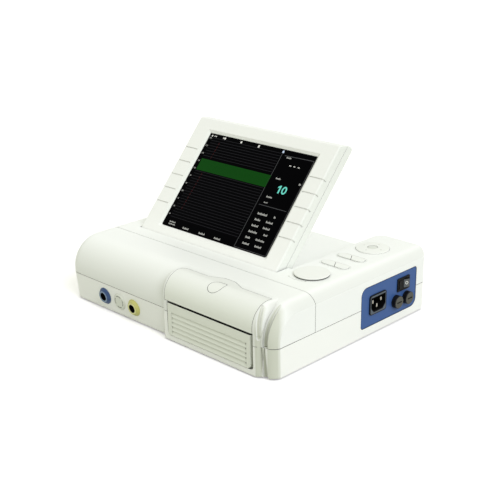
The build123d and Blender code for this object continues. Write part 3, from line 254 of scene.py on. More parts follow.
def moulded_grain_group():
    """Fine spark-eroded grain and the slow unevenness of moulded plastic."""
    group, inp, out = new_group(
        "moulded_grain",
        {"Colour": ("Color", (0.8, 0.8, 0.8, 1)), "Grain": ("Float", 0.0006),
         "Unevenness": ("Float", 0.03), "Roughness": ("Float", 0.45)},
        {"Colour": ("Color", None), "Roughness": ("Float", None), "Height": ("Float", None)},
    )
    place = node(group, "TexCoord").outputs["Object"]
    fine = noise(group, place, maths(group, "DIVIDE", 1.0, inp.outputs["Grain"]), GRAIN_DETAIL)
    slow = noise(group, place, *SLOW_NOISE)
    swing = maths(group, "MULTIPLY", maths(group, "SUBTRACT", slow, 0.5), inp.outputs["Unevenness"])
    tinted = scaled(group, inp.outputs["Colour"], maths(group, "ADD", swing, 1.0))
    rough = spread(group, fine, -GRAIN_ROUGHNESS / 2, GRAIN_ROUGHNESS / 2)
    group.links.new(tinted, out.inputs["Colour"])
    group.links.new(maths(group, "ADD", rough, inp.outputs["Roughness"]), out.inputs["Roughness"])
    group.links.new(fine, out.inputs["Height"])
    return group


def edge_wear_group():
    """Mask of outer edges, broken up so that it reads as handling."""
    group, inp, out = new_group(
        "edge_wear",
        {"Width": ("Float", 0.0006), "Amount": ("Float", 0.5)},
        {"Mask": ("Float", None)},
    )
    rounded = node(group, "Bevel", {"Radius": inp.outputs["Width"]}, samples=BEVEL_SAMPLES)
    pair = {0: rounded.outputs["Normal"], 1: node(group, "NewGeometry").outputs["Normal"]}
    likeness = node(group, "VectorMath", pair, operation="DOT_PRODUCT").outputs["Value"]
    edge = maths(group, "MULTIPLY", maths(group, "SUBTRACT", 1.0, likeness), EDGE_GAIN, clamp=True)
    handled = noise(group, node(group, "TexCoord").outputs["Object"], *HANDLING_NOISE)
    mask = maths(group, "MULTIPLY", edge, ramp(group, handled, *HANDLED))
    mask = maths(group, "MULTIPLY", mask, inp.outputs["Amount"], clamp=True)
    group.links.new(mask, out.inputs["Mask"])
    return group


def crevice_group():
    """Masks of corners and seams: dust with painted shade where they open, and painted shadow, near
    black, where they are deep.
    """
    group, inp, out = new_group(
        "crevice",
        {"Reach": ("Float", 0.003), "Dust and shade": ("Float", 0.3), "Open": ("Float", 0.5),
         "Shut": ("Float", 0.16)},
        {"Dust and shade": ("Float", None), "Deep shadow": ("Float", None)},
    )
    reach = {"Distance": inp.outputs["Reach"]}
    open_share = node(group, "AmbientOcclusion", reach, samples=OPEN_SAMPLES).outputs["AO"]
    closed = maths(group, "SUBTRACT", 1.0, open_share)
    dust_and_shade = maths(group, "MULTIPLY", closed, inp.outputs["Dust and shade"], clamp=True)
    group.links.new(dust_and_shade, out.inputs["Dust and shade"])
    deep_shadow = ramp(group, open_share, inp.outputs["Open"], inp.outputs["Shut"])
    group.links.new(deep_shadow, out.inputs["Deep shadow"])
    return group


def hollow_shade_group():
    """Mask of painted shade in wide soft hollows of a piece's own shape, such as the flutes beside
    the recorder.
    """
    group, inp, out = new_group(
        "hollow_shade",
        {"Reach": ("Float", 0.018), "Amount": ("Float", 0.6)},
        {"Mask": ("Float", None)},
    )
    reach = {"Distance": inp.outputs["Reach"]}
    own = node(group, "AmbientOcclusion", reach, samples=OPEN_SAMPLES, only_local=True)
    closed = maths(group, "SUBTRACT", 1.0, own.outputs["AO"])
    mask = maths(group, "MULTIPLY", closed, inp.outputs["Amount"], clamp=True)
    group.links.new(mask, out.inputs["Mask"])
    return group


def facing_group():
    """Mask of the faces whose normal leans along an axis: none at From, all at To."""
    group, inp, out = new_group(
        "facing",
        {"Axis": ("Vector", (1.0, 0.0, 0.0)), "From": ("Float", 0.9), "To": ("Float", 0.97)},
        {"Mask": ("Float", None)},
    )
    pair = {0: node(group, "TexCoord").outputs["Normal"], 1: inp.outputs["Axis"]}
    along = node(group, "VectorMath", pair, operation="DOT_PRODUCT").outputs["Value"]
    mask = ramp(group, along, inp.outputs["From"], inp.outputs["To"])
    group.links.new(mask, out.inputs["Mask"])
    return group


def drawn_lines_group():
    """Fine parallel lines that drawing or turning leaves on bare metal."""
    group, inp, out = new_group(
        "drawn_lines", {"Stretch": ("Vector", (40.0, 900.0, 900.0))},
        {"Height": ("Float", None), "Tone": ("Float", None)},
    )
    pair = {0: node(group, "TexCoord").outputs["Object"], 1: inp.outputs["Stretch"]}
    drawn = node(group, "VectorMath", pair, operation="MULTIPLY").outputs[0]
    lines = noise(group, drawn, *LINE_NOISE)
    group.links.new(lines, out.inputs["Height"])
    group.links.new(spread(group, lines, *LINE_TONES), out.inputs["Tone"])
    return group


def screen_pixels_group():
    """Rows and columns of screen cells along the display's own two directions."""
    group, inp, out = new_group(
        "screen_pixels", {"Colour": ("Color", (1, 1, 1, 1)), "Pitch": ("Float", 0.00021)},
        {"Colour": ("Color", None)},
    )
    place = node(group, "TexCoord").outputs["Object"]
    laid = node(group, "Mapping", {"Vector": place, "Rotation": (-DISPLAY_TILT, 0.0, 0.0)}).outputs[0]
    cells = scaled(group, laid, maths(group, "DIVIDE", 1.0, inp.outputs["Pitch"]))
    within = node(group, "VectorMath", {0: cells}, operation="FRACTION").outputs[0]
    parts = node(group, "SeparateXYZ", {0: within}).outputs
    lit = [maths(group, "LESS_THAN", parts[axis], CELL_SHARE) for axis in ("X", "Y")]
    cell = maths(group, "MULTIPLY", lit[0], lit[1])
    level = spread(group, cell, CELL_GAP_LEVEL, CELL_GAP_LEVEL + CELL_LIT_GAIN)
    backlight = spread(group, noise(group, place, *BACKLIGHT_NOISE), *BACKLIGHT_TONES)
    shown = scaled(group, inp.outputs["Colour"], maths(group, "MULTIPLY", level, backlight))
    group.links.new(shown, out.inputs["Colour"])
    return group


GRAIN = moulded_grain_group()
WEAR = edge_wear_group()
CREVICE = crevice_group()
HOLLOWS = hollow_shade_group()
FACING = facing_group()
DRAWN = drawn_lines_group()
PIXELS = screen_pixels_group()


# ---- materials ----------------------------------------------------------------------------------
def place_group(tree, group, values):
    """A shared effect in a material's tree, with that material's own values; gives its outputs."""
    return node(tree, "Group", values, node_tree=group).outputs


def blank_material(name):
    material = bpy.data.materials.new(name)
    material.use_nodes = True
    tree = material.node_tree
    return material, tree, tree.nodes["Principled BSDF"]


def mix_colour(tree, share, first, second):
    """The first colour where share is 0 and the second where it is 1."""
    return node(tree, "Mix", {0: share, 6: first, 7: second}, data_type="RGBA").outputs[2]


# Softened edge of a moulding, in metres, and how much wider the handled edge is.
MOULDED_EDGE = 0.0005
WORN_WIDTH = 1.6

# Bare metal: softened edge, depth of its lines, grain and reach of its corners, in metres; then how
# uneven its tone is, and the dust and painted shade in its corners.
METAL_EDGE = 0.0003
METAL_RELIEF = 0.00002
METAL_GRAIN = 0.0004
METAL_REACH = 0.002
METAL_UNEVENNESS = 0.1
METAL_DUST_AND_SHADE = 0.4

# Lit marks: they sit behind a matt window, so their own surface hardly shines.
LIT_BASE_SHARE = 0.1
LIT_ROUGHNESS = 0.4
LIT_SPECULAR = 0.05

# Painted shadow, near black, for deep seams, and painted shade, yellow grey, for wide soft hollows.
SHADOW = colour(14, 14, 12)
PAINTED_HOLLOW_SHADE = colour(100, 101, 76)

# Directions that a face can lean to; TO_LIGHT is up to the right, where the window light is.
TO_FRONT = (0.0, -1.0, 0.0)
TO_RIGHT = (1.0, 0.0, 0.0)
TO_LIGHT = (0.76, 0.0, 0.65)

# Painted shading for faces that lean one way, each with its colour and (direction, none at, all at):
# painted shade on faces that lean to the front and to the light, on the display's faces to the right,
# on the recorder's front and on the corner right of the recorder, and painted light on the fuse caps'
# ends, which face the light. The corner right of the recorder leans both to the front and to the
# right.
FRONT_SHADE = (colour(237, 239, 235), (TO_FRONT, 0.3, 0.9))
LIGHT_SHADE = (colour(230, 232, 228), (TO_LIGHT, 0.84, 0.99))
CORNER_SHADE = (colour(208, 211, 198), (TO_FRONT, 0.32, 0.55), (TO_RIGHT, 0.12, 0.35))
RECORDER_SHADE = (colour(235, 238, 230), (TO_FRONT, 0.45, 0.98))
DISPLAY_SHADE = (colour(236, 239, 234), (TO_RIGHT, 0.35, 0.55))
CAP_END_PAINTED_LIGHT = (colour(74, 74, 67), (TO_RIGHT, 0.9, 0.97))


def plastic(name, body, edge, dust_and_shade_colour, painted_shading=(), grain=0.0006, bump=0.00003, rough=0.42, uneven=0.03,
            wear=0.25, dust_and_shade=0.3, seam=(0.5, 0.16), hollow=0.0, specular=0.45):
    """Moulded plastic: grain, softened and handled edges, dust and painted shade in the seams,
    painted shade in wide hollows, and painted shading on faces that lean one way.

    seam is how open a corner still is where its painted shadow starts, and where it is full. hollow
    is the strength of the painted shade in wide soft hollows. Each tint of the painted shading
    colours the faces that lean one way, darker for painted shade and lighter for painted light.
    """
    material, tree, shader = blank_material(name)
    for shade_tone, *leans in painted_shading:
        share = 1.0
        for axis, none_at, all_at in leans:
            lean = place_group(tree, FACING, {"Axis": axis, "From": none_at, "To": all_at})["Mask"]
            share = maths(tree, "MULTIPLY", lean, share)
        body = mix_colour(tree, share, body, shade_tone)
    skin = place_group(tree, GRAIN, {"Colour": body, "Grain": grain, "Unevenness": uneven,
                                     "Roughness": rough})
    worn = place_group(tree, WEAR, {"Width": MOULDED_EDGE * WORN_WIDTH, "Amount": wear})["Mask"]
    seams = place_group(tree, CREVICE, {"Dust and shade": dust_and_shade, "Open": seam[0], "Shut": seam[1]})
    shade = mix_colour(tree, worn, skin["Colour"], edge)
    if hollow:
        hollow_shade_mask = place_group(tree, HOLLOWS, {"Amount": hollow})["Mask"]
        shade = mix_colour(tree, hollow_shade_mask, shade, PAINTED_HOLLOW_SHADE)
    shade = mix_colour(tree, seams["Dust and shade"], shade, dust_and_shade_colour)
    shade = mix_colour(tree, seams["Deep shadow"], shade, SHADOW)
    soft = node(tree, "Bevel", {"Radius": MOULDED_EDGE}, samples=BEVEL_SAMPLES).outputs["Normal"]
    relief = node(tree, "Bump", {"Height": skin["Height"], "Normal": soft, "Distance": bump,
                                 "Strength": 1.0})
    tree.links.new(shade, shader.inputs["Base Color"])
    tree.links.new(skin["Roughness"], shader.inputs["Roughness"])
    tree.links.new(relief.outputs[0], shader.inputs["Normal"])
    shader.inputs["Specular IOR Level"].default_value = specular
    return material


def metal(name, body, dust_and_shade_colour, stretch, rough=0.3):
    """Bare metal with drawn or turned lines; stretch is their fineness along X, Y and Z."""
    material, tree, shader = blank_material(name)
    lines = place_group(tree, DRAWN, {"Stretch": stretch})
    skin = place_group(tree, GRAIN, {"Colour": body, "Grain": METAL_GRAIN,
                                     "Unevenness": METAL_UNEVENNESS, "Roughness": rough})
    seams = place_group(tree, CREVICE, {"Reach": METAL_REACH, "Dust and shade": METAL_DUST_AND_SHADE})
    shade = mix_colour(tree, seams["Dust and shade"], scaled(tree, skin["Colour"], lines["Tone"]), dust_and_shade_colour)
    soft = node(tree, "Bevel", {"Radius": METAL_EDGE}, samples=BEVEL_SAMPLES).outputs["Normal"]
    relief = node(tree, "Bump", {"Height": lines["Height"], "Normal": soft, "Distance": METAL_RELIEF})
    tree.links.new(shade, shader.inputs["Base Color"])
    tree.links.new(skin["Roughness"], shader.inputs["Roughness"])
    tree.links.new(relief.outputs[0], shader.inputs["Normal"])
    shader.inputs["Metallic"].default_value = 1.0
    return material


def lit_cells(name, shade):
    """Marks shown on the screen: lit screen cells behind the dark window."""
    material, tree, shader = blank_material(name)
    cells = place_group(tree, PIXELS, {"Colour": shade})["Colour"]
    tree.links.new(scaled(tree, cells, LIT_BASE_SHARE), shader.inputs["Base Color"])
    tree.links.new(cells, shader.inputs["Emission Color"])
    shader.inputs["Emission Strength"].default_value = 1.0
    shader.inputs["Roughness"].default_value = LIT_ROUGHNESS
    shader.inputs["Specular IOR Level"].default_value = LIT_SPECULAR
    return material


# Each plastic has the colour of its body, of its handled edges and of the dust and painted shade in
# its corners.
CASE = plastic("case_plastic", colour(247, 249, 247), colour(249, 250, 248), colour(150, 150, 136),
               painted_shading=(FRONT_SHADE, LIGHT_SHADE, CORNER_SHADE), seam=(0.46, 0.12), hollow=0.85)
CASE_LOWER = plastic("case_plastic_lower", colour(249, 250, 247), colour(251, 252, 249),
                     colour(160, 160, 146), painted_shading=(CORNER_SHADE,), seam=(0.46, 0.12), hollow=0.8)
RECORDER = plastic("recorder_plastic", colour(239, 241, 237), colour(244, 246, 241),
                   colour(140, 139, 124), painted_shading=(RECORDER_SHADE,), seam=(0.72, 0.28))
RELEASE = plastic("release_plastic", colour(238, 240, 235), colour(244, 246, 241),
                  colour(140, 139, 124), seam=(0.85, 0.35))
DRAWER = plastic("drawer_plastic", colour(230, 233, 223), colour(238, 240, 232),
                 colour(128, 127, 112), seam=(0.4, 0.1))
DISPLAY = plastic("display_plastic", colour(247, 248, 246), colour(248, 249, 247),
                  colour(160, 159, 148), painted_shading=(DISPLAY_SHADE,), dust_and_shade=0.24, seam=(0.34, 0.02))
BUTTON = plastic("button_plastic", colour(242, 244, 240), colour(246, 247, 244),
                 colour(140, 140, 128))
KNOB_WHITE = plastic("knob_plastic", colour(240, 242, 238), colour(246, 247, 243),
                     colour(140, 140, 128), seam=(0.3, 0.0))
BLANK = plastic("blank_plastic", colour(224, 227, 217), colour(230, 232, 224),
                colour(120, 120, 108), seam=(0.8, 0.35))
GREY_BUTTON = plastic("grey_button", colour(222, 225, 218), colour(232, 234, 228),
                      colour(120, 120, 112))
PANEL_BLUE = plastic("panel_blue", colour(58, 90, 147), colour(88, 114, 168), colour(34, 44, 72),
                     rough=0.45, specular=0.2)
GASKET = plastic("gasket_blue", colour(40, 58, 92), colour(64, 84, 124), colour(20, 28, 46),
                 rough=0.6, specular=0.15)
BLACK = plastic("black_plastic", colour(12, 12, 12), colour(46, 46, 48), colour(8, 8, 8),
                rough=0.5, specular=0.1)
CAP_BLACK = plastic("cap_plastic", colour(6, 6, 8), colour(96, 96, 90), colour(4, 4, 4),
                    painted_shading=(CAP_END_PAINTED_LIGHT,), grain=0.0012, bump=0.00012, rough=0.5, uneven=0.5,
                    specular=0.25)
TRIM_GREY = plastic("trim_plastic", colour(78, 88, 98), colour(120, 128, 134), colour(24, 26, 30),
                    specular=0.25)
# Painted light: grey for the lit rear face of the black rocker.
ROCKER_LIT_GREY = plastic("rocker_painted_light", colour(84, 88, 92), colour(128, 130, 130),
                      colour(34, 34, 34), rough=0.36, uneven=0.3, specular=0.3)
GREY = plastic("printed_grey", colour(205, 208, 200), colour(214, 216, 210), colour(150, 150, 140))
# Painted shadow at the louvres' ends and in the blanking disc's slits.
SHADE_GREY = plastic("painted_shadow_grey", colour(104, 106, 94), colour(124, 126, 112), colour(90, 90, 80))
# Painted shade for the faint line round each pair of keys.
FAINT_SHADE = plastic("faint_painted_shade", colour(226, 229, 222), colour(232, 234, 228), colour(170, 170, 160))
MARK_WHITE = plastic("mark_white", colour(236, 236, 232), colour(246, 246, 244),
                     colour(170, 170, 164))
SOCKET_BLUE = plastic("socket_blue", colour(40, 68, 112), colour(112, 136, 170), colour(22, 34, 56))
SOCKET_YELLOW = plastic("socket_yellow", colour(196, 194, 116), colour(232, 229, 168),
                        colour(120, 112, 50))
RING_BLUE = plastic("socket_ring_blue", colour(124, 146, 172), colour(172, 190, 214),
                    colour(60, 78, 110))
RING_YELLOW = plastic("socket_ring_yellow", colour(232, 230, 170), colour(242, 240, 194),
                      colour(150, 142, 80))
# Painted shadow in the paper slot.
SLOT_SHADOW_BLACK = plastic("slot_shadow_black", colour(10, 10, 10), colour(24, 24, 24), colour(4, 4, 4),
                     rough=0.8, specular=0.1)
GEAR = plastic("gear_plastic", colour(224, 222, 212), colour(236, 236, 230), colour(96, 94, 88))
RUBBER_BLACK = plastic("roller_rubber", colour(22, 22, 22), colour(46, 46, 46), colour(18, 18, 18),
                       rough=0.75)
RUBBER_GREY = plastic("foot_rubber", colour(96, 97, 96), colour(124, 125, 124), colour(52, 52, 50),
                      rough=0.8)
BOARD = plastic("circuit_board", colour(34, 92, 58), colour(96, 140, 104), colour(18, 44, 28),
                rough=0.35)
CORE = plastic("transformer_core", colour(74, 70, 66), colour(120, 116, 110), colour(32, 30, 28))
CERAMIC = plastic("head_ceramic", colour(58, 48, 42), colour(120, 110, 98), colour(22, 18, 16),
                  rough=0.25)
PAPER = plastic("recorder_paper", colour(246, 238, 226), colour(250, 246, 238),
                colour(180, 168, 150), rough=0.85)
LCD = plastic("lcd_panel", colour(26, 28, 30), colour(60, 62, 66), colour(12, 12, 12), rough=0.3)
GLASS_FUSE = plastic("fuse_glass", colour(200, 206, 204), colour(226, 230, 228), colour(90, 92, 90),
                     rough=0.12)
SCREEN = plastic("screen", colour(2, 2, 3), colour(10, 10, 11), colour(1, 1, 1), bump=0.000004,
                 rough=0.3, wear=0.1, specular=0.01)
STEEL = metal("steel", colour(180, 180, 178), colour(70, 66, 60), (40.0, 900.0, 900.0))
CONTACT = metal("contact_metal", colour(168, 164, 154), colour(90, 80, 60), (900.0, 900.0, 60.0),
                rough=0.25)
LIT_GREEN = lit_cells("lit_green", colour(0, 62, 1))
LIT_LINE = lit_cells("lit_line", colour(36, 36, 39))
LIT_FRAME = lit_cells("lit_frame", colour(74, 75, 76))
LIT_TEXT = lit_cells("lit_text", colour(168, 169, 163))
LIT_ICON = lit_cells("lit_icon", colour(214, 214, 206))
LIT_CYAN = lit_cells("lit_cyan", colour(104, 206, 188))
LIT_PALE = lit_cells("lit_pale_blue", colour(196, 212, 232))
LIT_RED = lit_cells("lit_red", colour(58, 12, 14))

FINISHES = {
    CASE: ("front_cover", "rear_cover"),
    CASE_LOWER: ("bottom_case",),
    RECORDER: ("printer_cover",),
    RELEASE: ("release_button",),
    DRAWER: ("paper_drawer",),
    DISPLAY: ("display_bezel", "display_back"),
    KNOB_WHITE: ("rotary_knob",),
    BUTTON: ("key_1", "key_2", "key_3", "key_4", "nav_disc"),
    BLANK: ("socket_blank",),
    GREY_BUTTON: ("enter_button",),
    PANEL_BLUE: ("side_panel",),
    BLACK: ("switch_rocker", "switch_frame", "inlet_body", "fuse_holder_1", "fuse_holder_2",
            "encoder_body", "speaker"),
    CAP_BLACK: ("fuse_cap_1", "fuse_cap_2"),
    SOCKET_BLUE: ("probe_socket_blue",),
    SOCKET_YELLOW: ("probe_socket_yellow",),
    GEAR: ("platen_gear", "idler_gear", "encoder_collar", "encoder_spindle"),
    RUBBER_BLACK: ("platen_roller",),
    RUBBER_GREY: ("rubber_feet",),
    BOARD: ("keypad_board", "main_board", "power_board"),
    CORE: ("power_transformer",),
    CERAMIC: ("print_head",),
    PAPER: ("paper_pack",),
    LCD: ("lcd_panel",),
    GLASS_FUSE: ("fuse_link_1", "fuse_link_2"),
    SCREEN: ("display_window",),
    STEEL: ("feed_motor", "motor_pinion", "head_heatsink", "hinge_pin_left", "hinge_pin_right",
            "hinge_bracket_left", "hinge_bracket_right", "display_screws", "case_screws",
            "idler_axle"),
    CONTACT: ("contact_set_blue", "contact_set_yellow", "inlet_pins"),
}


def finish_cad_nodes():
    for material, names in FINISHES.items():
        for name in names:
            for place in cad_nodes[name].material_slots:
                place.link = "OBJECT"
                place.material = material


# ---- outlines and meshes of thin pieces ---------------------------------------------------------
# Short words on the screen: upright bars, every third of them tall.
LETTER_WIDTH = 0.95
LETTER_GAP = 0.45
LOW_LETTER = 0.72
TALL_EVERY = 3

# Font size at which figures are 1 high.
FIGURE_SIZE = 1.38

# Points of one piece that are nearer to each other than this are joined.
WELD_GAP = 0.00001


def bar(x, y, width, height):
    """Outline of an upright bar from its lower left corner."""
    return [(x, y), (x + width, y), (x + width, y + height), (x, y + height)]


def strip(start, end, width):
    """Outline of a straight line of some width between two points."""
    (x0, y0), (x1, y1) = start, end
    length = math.hypot(x1 - x0, y1 - y0)
    across_x, across_y = -(y1 - y0) / length * width / 2, (x1 - x0) / length * width / 2
    return [(x0 + across_x, y0 + across_y), (x0 - across_x, y0 - across_y),
            (x1 - across_x, y1 - across_y), (x1 + across_x, y1 + across_y)]


def oval(x, y, across, up, steps=32):
    turns = [math.tau * step / steps for step in range(steps)]
    return [(x + across * math.cos(turn), y + up * math.sin(turn)) for turn in turns]


def disc(x, y, radius, steps=16):
    return oval(x, y, radius, radius, steps)


def arc(x, y, radius, start, end, steps):
    """Points along an arc, both ends included; the angles are in degrees."""
    turns = [math.radians(start + (end - start) * step / steps) for step in range(steps + 1)]
    return [(x + radius * math.cos(turn), y + radius * math.sin(turn)) for turn in turns]


def arc_strip(centre, radius, start, end, width, steps=24):
    """Outline of a line along an arc, with square ends."""
    return (arc(*centre, radius + width / 2, start, end, steps)
            + arc(*centre, radius - width / 2, end, start, steps))


def stadium(x, y, width, height, steps=12):
    """Outline of a long shape with full round ends about its middle."""
    radius = height / 2
    reach = width / 2 - radius
    return arc(x + reach, y, radius, -90, 90, steps) + arc(x - reach, y, radius, 90, 270, steps)


def rounded_box(sides, radii, steps, inset=0.0):
    """Outline of a box with its own radius at each corner, from the upper right to the left."""
    (left, right), (low, high) = sides
    points = []
    corners = ((right, high), (left, high), (left, low), (right, low))
    for quarter, ((x, y), radius) in enumerate(zip(corners, radii)):
        middle_x = x - radius if x == right else x + radius
        middle_y = y - radius if y == high else y + radius
        start = 90 * quarter
        points += arc(middle_x, middle_y, radius - inset, start, start + 90, steps)
    return points


def word(x, y, length, height):
    """Outlines that stand for a short word: a row of small upright bars, some of them tall."""
    count = int(length / (LETTER_WIDTH + LETTER_GAP))
    return [bar(x + step * (LETTER_WIDTH + LETTER_GAP), y, LETTER_WIDTH,
                height * (1.0 if step % TALL_EVERY == 0 else LOW_LETTER)) for step in range(count)]


def mesh_from_curve(curve):
    holder = bpy.data.objects.new(curve.name, curve)
    mesh = bpy.data.meshes.new_from_object(holder)
    bpy.data.objects.remove(holder)
    bpy.data.curves.remove(curve)
    return mesh


def plate_mesh(outlines, thickness):
    """Closed thin plates from flat outlines; an outline inside another one is a hole in it."""
    curve = bpy.data.curves.new("plate_outline", "CURVE")
    curve.dimensions = "2D"
    curve.fill_mode = "BOTH"
    curve.extrude = thickness / 2
    for outline in outlines:
        spline = curve.splines.new("POLY")
        spline.points.add(len(outline) - 1)
        for point, (x, y) in zip(spline.points, outline):
            point.co = (x, y, 0.0, 1.0)
        spline.use_cyclic_u = True
    return mesh_from_curve(curve)


def number_mesh(text, height, thickness):
    """Plain figures as a closed mesh, centred on their own place."""
    curve = bpy.data.curves.new("figure_outline", "FONT")
    curve.body = text
    curve.size = height * FIGURE_SIZE
    curve.align_x = "CENTER"
    curve.align_y = "CENTER"
    curve.extrude = thickness / 2
    curve.resolution_u = 3
    return mesh_from_curve(curve)


def turned_mesh(profile, steps=48):
    """Closed ring or cup turned about Z from a closed profile of (radius, height) points."""
    mesh = bmesh.new()
    turns = [math.tau * step / steps for step in range(steps)]
    rings = [[mesh.verts.new((radius * math.cos(turn), radius * math.sin(turn), z)) for turn in turns]
             for radius, z in profile]
    for low, high in zip(rings, rings[1:] + rings[:1]):
        for here in range(steps):
            there = (here + 1) % steps
            mesh.faces.new((low[here], low[there], high[there], high[here]))
    bmesh.ops.recalc_face_normals(mesh, faces=mesh.faces)
    data = bpy.data.meshes.new("turned")
    mesh.to_mesh(data)
    mesh.free()
    return data


def add_piece(name, meshes, place, material, body):
    """One piece from several meshes in millimetres, each with its own spot on the plane of place."""
    mesh = bmesh.new()
    for part, spot in meshes:
        part.transform(Matrix.Translation(spot))
        mesh.from_mesh(part)
        bpy.data.meshes.remove(part)
    bmesh.ops.remove_doubles(mesh, verts=mesh.verts, dist=WELD_GAP)
    mesh.transform(place)
    data = bpy.data.meshes.new(name)
    mesh.to_mesh(data)
    mesh.free()
    data.materials.clear()
    data.materials.append(material)
    piece = bpy.data.objects.new(name, data)
    bpy.context.scene.collection.objects.link(piece)
    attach(piece, body)


# ---- planes that the thin pieces lie on ---------------------------------------------------------
def screen_place():
    """The window's plane from the lower left corner of its opening, with the display turned up."""
    hinge = Vector((0.0, HINGE_Y, HINGE_Z))
    turn = Matrix.Rotation(DISPLAY_TILT, 4, "X")
    turned_up = Matrix.Translation(hinge) @ turn @ Matrix.Translation(-hinge)
    return LAYOUT @ turned_up @ Matrix.Translation((*SCREEN_CORNER, WINDOW_Z))


def level_place(z):
    return LAYOUT @ Matrix.Translation((0.0, 0.0, z))


def upright_place(y):
    """A plane across the front at y: X to the right, Y up."""
    return LAYOUT @ Matrix.Translation((0.0, y, 0.0)) @ Matrix.Rotation(math.pi / 2, 4, "X")


def side_place(x):
    """A plane along the right side at x: X runs back along the side, Y up, Z out of it."""
    axes = Matrix(((0.0, 0.0, 1.0), (1.0, 0.0, 0.0), (0.0, 1.0, 0.0))).to_4x4()
    return LAYOUT @ Matrix.Translation((x, 0.0, 0.0)) @ axes


def rocker_place():
    """Plane of the rocker's rear rocking face: X along the face, Y up, Z out of it."""
    along = Vector((ROCKER_END[0] - ROCKER_RIDGE_X, ROCKER_END[1], 0.0)).normalized()
    up = Vector((0.0, 0.0, 1.0))
    axes = Matrix((along, up, along.cross(up))).transposed().to_4x4()
    pivot = Matrix.Translation((PANEL_FACE_X - ROCKER_PIVOT_DEPTH, *SWITCH))
    tilt = Matrix.Rotation(ROCKER_TILT, 4, "Z")
    return LAYOUT @ pivot @ tilt @ Matrix.Translation((ROCKER_RIDGE_X, 0.0, 0.0)) @ axes


def socket_place(x):
    """Place on the drafted front wall, with Z straight out of it."""
    draft = math.atan2(FRONT_DRAFT, PART_Z - BASE_Z)
    wall_y = FRONT_Y + FRONT_DRAFT * (PART_Z - SOCKET_Z) / (PART_Z - BASE_Z)
    spot = Matrix.Translation((x, wall_y, SOCKET_Z))
    return LAYOUT @ spot @ Matrix.Rotation(math.pi / 2 + draft, 4, "X")


# ---- what the screen shows, in millimetres from the lower left corner of its opening -------------
MARK_T = 0.06

# Chart on the left: a band across it, its scale figures, and three grid lines to a figure.
DIVIDER_X = 118.3
CHART_TOP = 119.6
CHART_BOTTOM = 9.6
BAND = (7.0, 76.4, 112.0, 15.2)
SCALE_FIGURES = ("240", "210", "180", "150", "120", "90", "60", "100", "75", "50", "25")
SCALE_X = 3.4
SCALE_TOP = 119.0
SCALE_PITCH = 10.35
SCALE_HEIGHT = 1.9
GRID_X = 6.5
GRID_LENGTH = DIVIDER_X - 8.0
GRID_PITCH = SCALE_PITCH / 3
GRID_WIDTH = 0.4
GRID_CLEAR = 0.5

# Dashed trace down the chart: its first dash, one dash, and the step to the next. It is left out
# where it would cross the band.
TRACE_COUNT = 20
TRACE_START = (21.0, 115.0)
TRACE_DASH = (-0.1, -2.8)
TRACE_STEP = (-0.2, -4.6)
TRACE_WIDTH = 0.7
TRACE_CLEAR_BELOW = 4.0
TRACE_CLEAR_ABOVE = 2.0

# Lines round the column on the right, as (x, y, width, height). The top one rises a little, and is
# given by its two ends and its width.
DIVIDER = (DIVIDER_X, 1.0, 0.5, 121.0)
MENU_LINE = (DIVIDER_X + 4.0, 55.4, 40.6, 0.5)
TOP_LINE = ((123.3, 118.1), (165.6, 119.0), 0.6)
RIGHT_LINE = (165.6, 1.6, 0.6, 117.4)
BOTTOM_LINE = (DIVIDER_X + 1.0, 1.2, 46.6, 0.5)

# Words as (x, y, length, height): below the chart, the times along it, and in the column.
CHART_WORDS = ((9.5, 5.8, 9.8, 1.7), (9.5, 3.0, 11.2, 1.7))
TIME_XS = (33.8, 60.7, 85.6)
TIME_WORD = (2.6, 9.8, 2.2)
COLUMN_X = 127.2
COLUMN_WORDS = ((COLUMN_X, 115.4, 7.0, 2.0), (COLUMN_X, 88.8, 7.0, 2.0), (COLUMN_X, 65.6, 8.4, 2.0),
                (COLUMN_X + 0.4, 58.8, 5.6, 1.2), (161.4, 88.0, 2.8, 2.4))

# Menu rows: the length of each row's name, and of its value, which ends at MENU_RIGHT_X.
MENU_ROWS = ((15.0, 4.0), (8.4, 11.0), (9.8, 11.0), (12.6, 5.6), (7.0, 12.6), (9.8, 9.8))
MENU_TOP = 44.2
MENU_PITCH = 7.4
MENU_RIGHT_X = 155.0
MENU_NAME_HEIGHT = 2.5
MENU_VALUE_HEIGHT = 2.3
MENU_VALUE_RISE = 0.4

# Small marks: a dot, as (x, y, radius, steps), and six blocks along the top, three dashes in the
# column, and a pointed mark above the divider.
STATUS_DOT = (4.6, 122.2, 1.2, 12)
STATUS_BLOCKS = ((8.2, 121.6, 1.2, 1.4), (10.6, 121.6, 1.2, 1.4), (22.6, 121.4, 1.2, 1.6),
                 (24.6, 121.0, 2.6, 2.4), (51.6, 120.8, 2.4, 2.6), (79.8, 120.4, 2.2, 3.2))
VALUE_DASHES = ((136.2, 107.2, 2.8, 0.9), (142.4, 107.2, 2.6, 0.9), (148.6, 107.2, 2.6, 0.9))
SIGNAL_MARK = ((117.4, 120.6), (120.0, 120.6), (120.0, 122.4), (118.7, 124.2), (117.4, 122.4))

# Large number: the outline of its 1, and the outer and inner oval of its 0.
COUNT_ONE = ((138.6, 73.2), (140.6, 73.2), (140.6, 82.8), (139.0, 82.8), (136.4, 80.8),
             (136.4, 79.2), (138.6, 80.4))
COUNT_NOUGHT = ((146.4, 78.0, 3.5, 4.8), (146.4, 78.0, 1.6, 3.1))


def grid_lines():
    """Level lines of the chart, apart from those behind the band."""
    low, high = BAND[1] - GRID_CLEAR, BAND[1] + BAND[3] + GRID_CLEAR
    rows = int((CHART_TOP - CHART_BOTTOM) / GRID_PITCH)
    levels = [CHART_TOP - GRID_PITCH * row for row in range(rows + 1)]
    return [bar(GRID_X, y, GRID_LENGTH, GRID_WIDTH) for y in levels if not low < y < high]


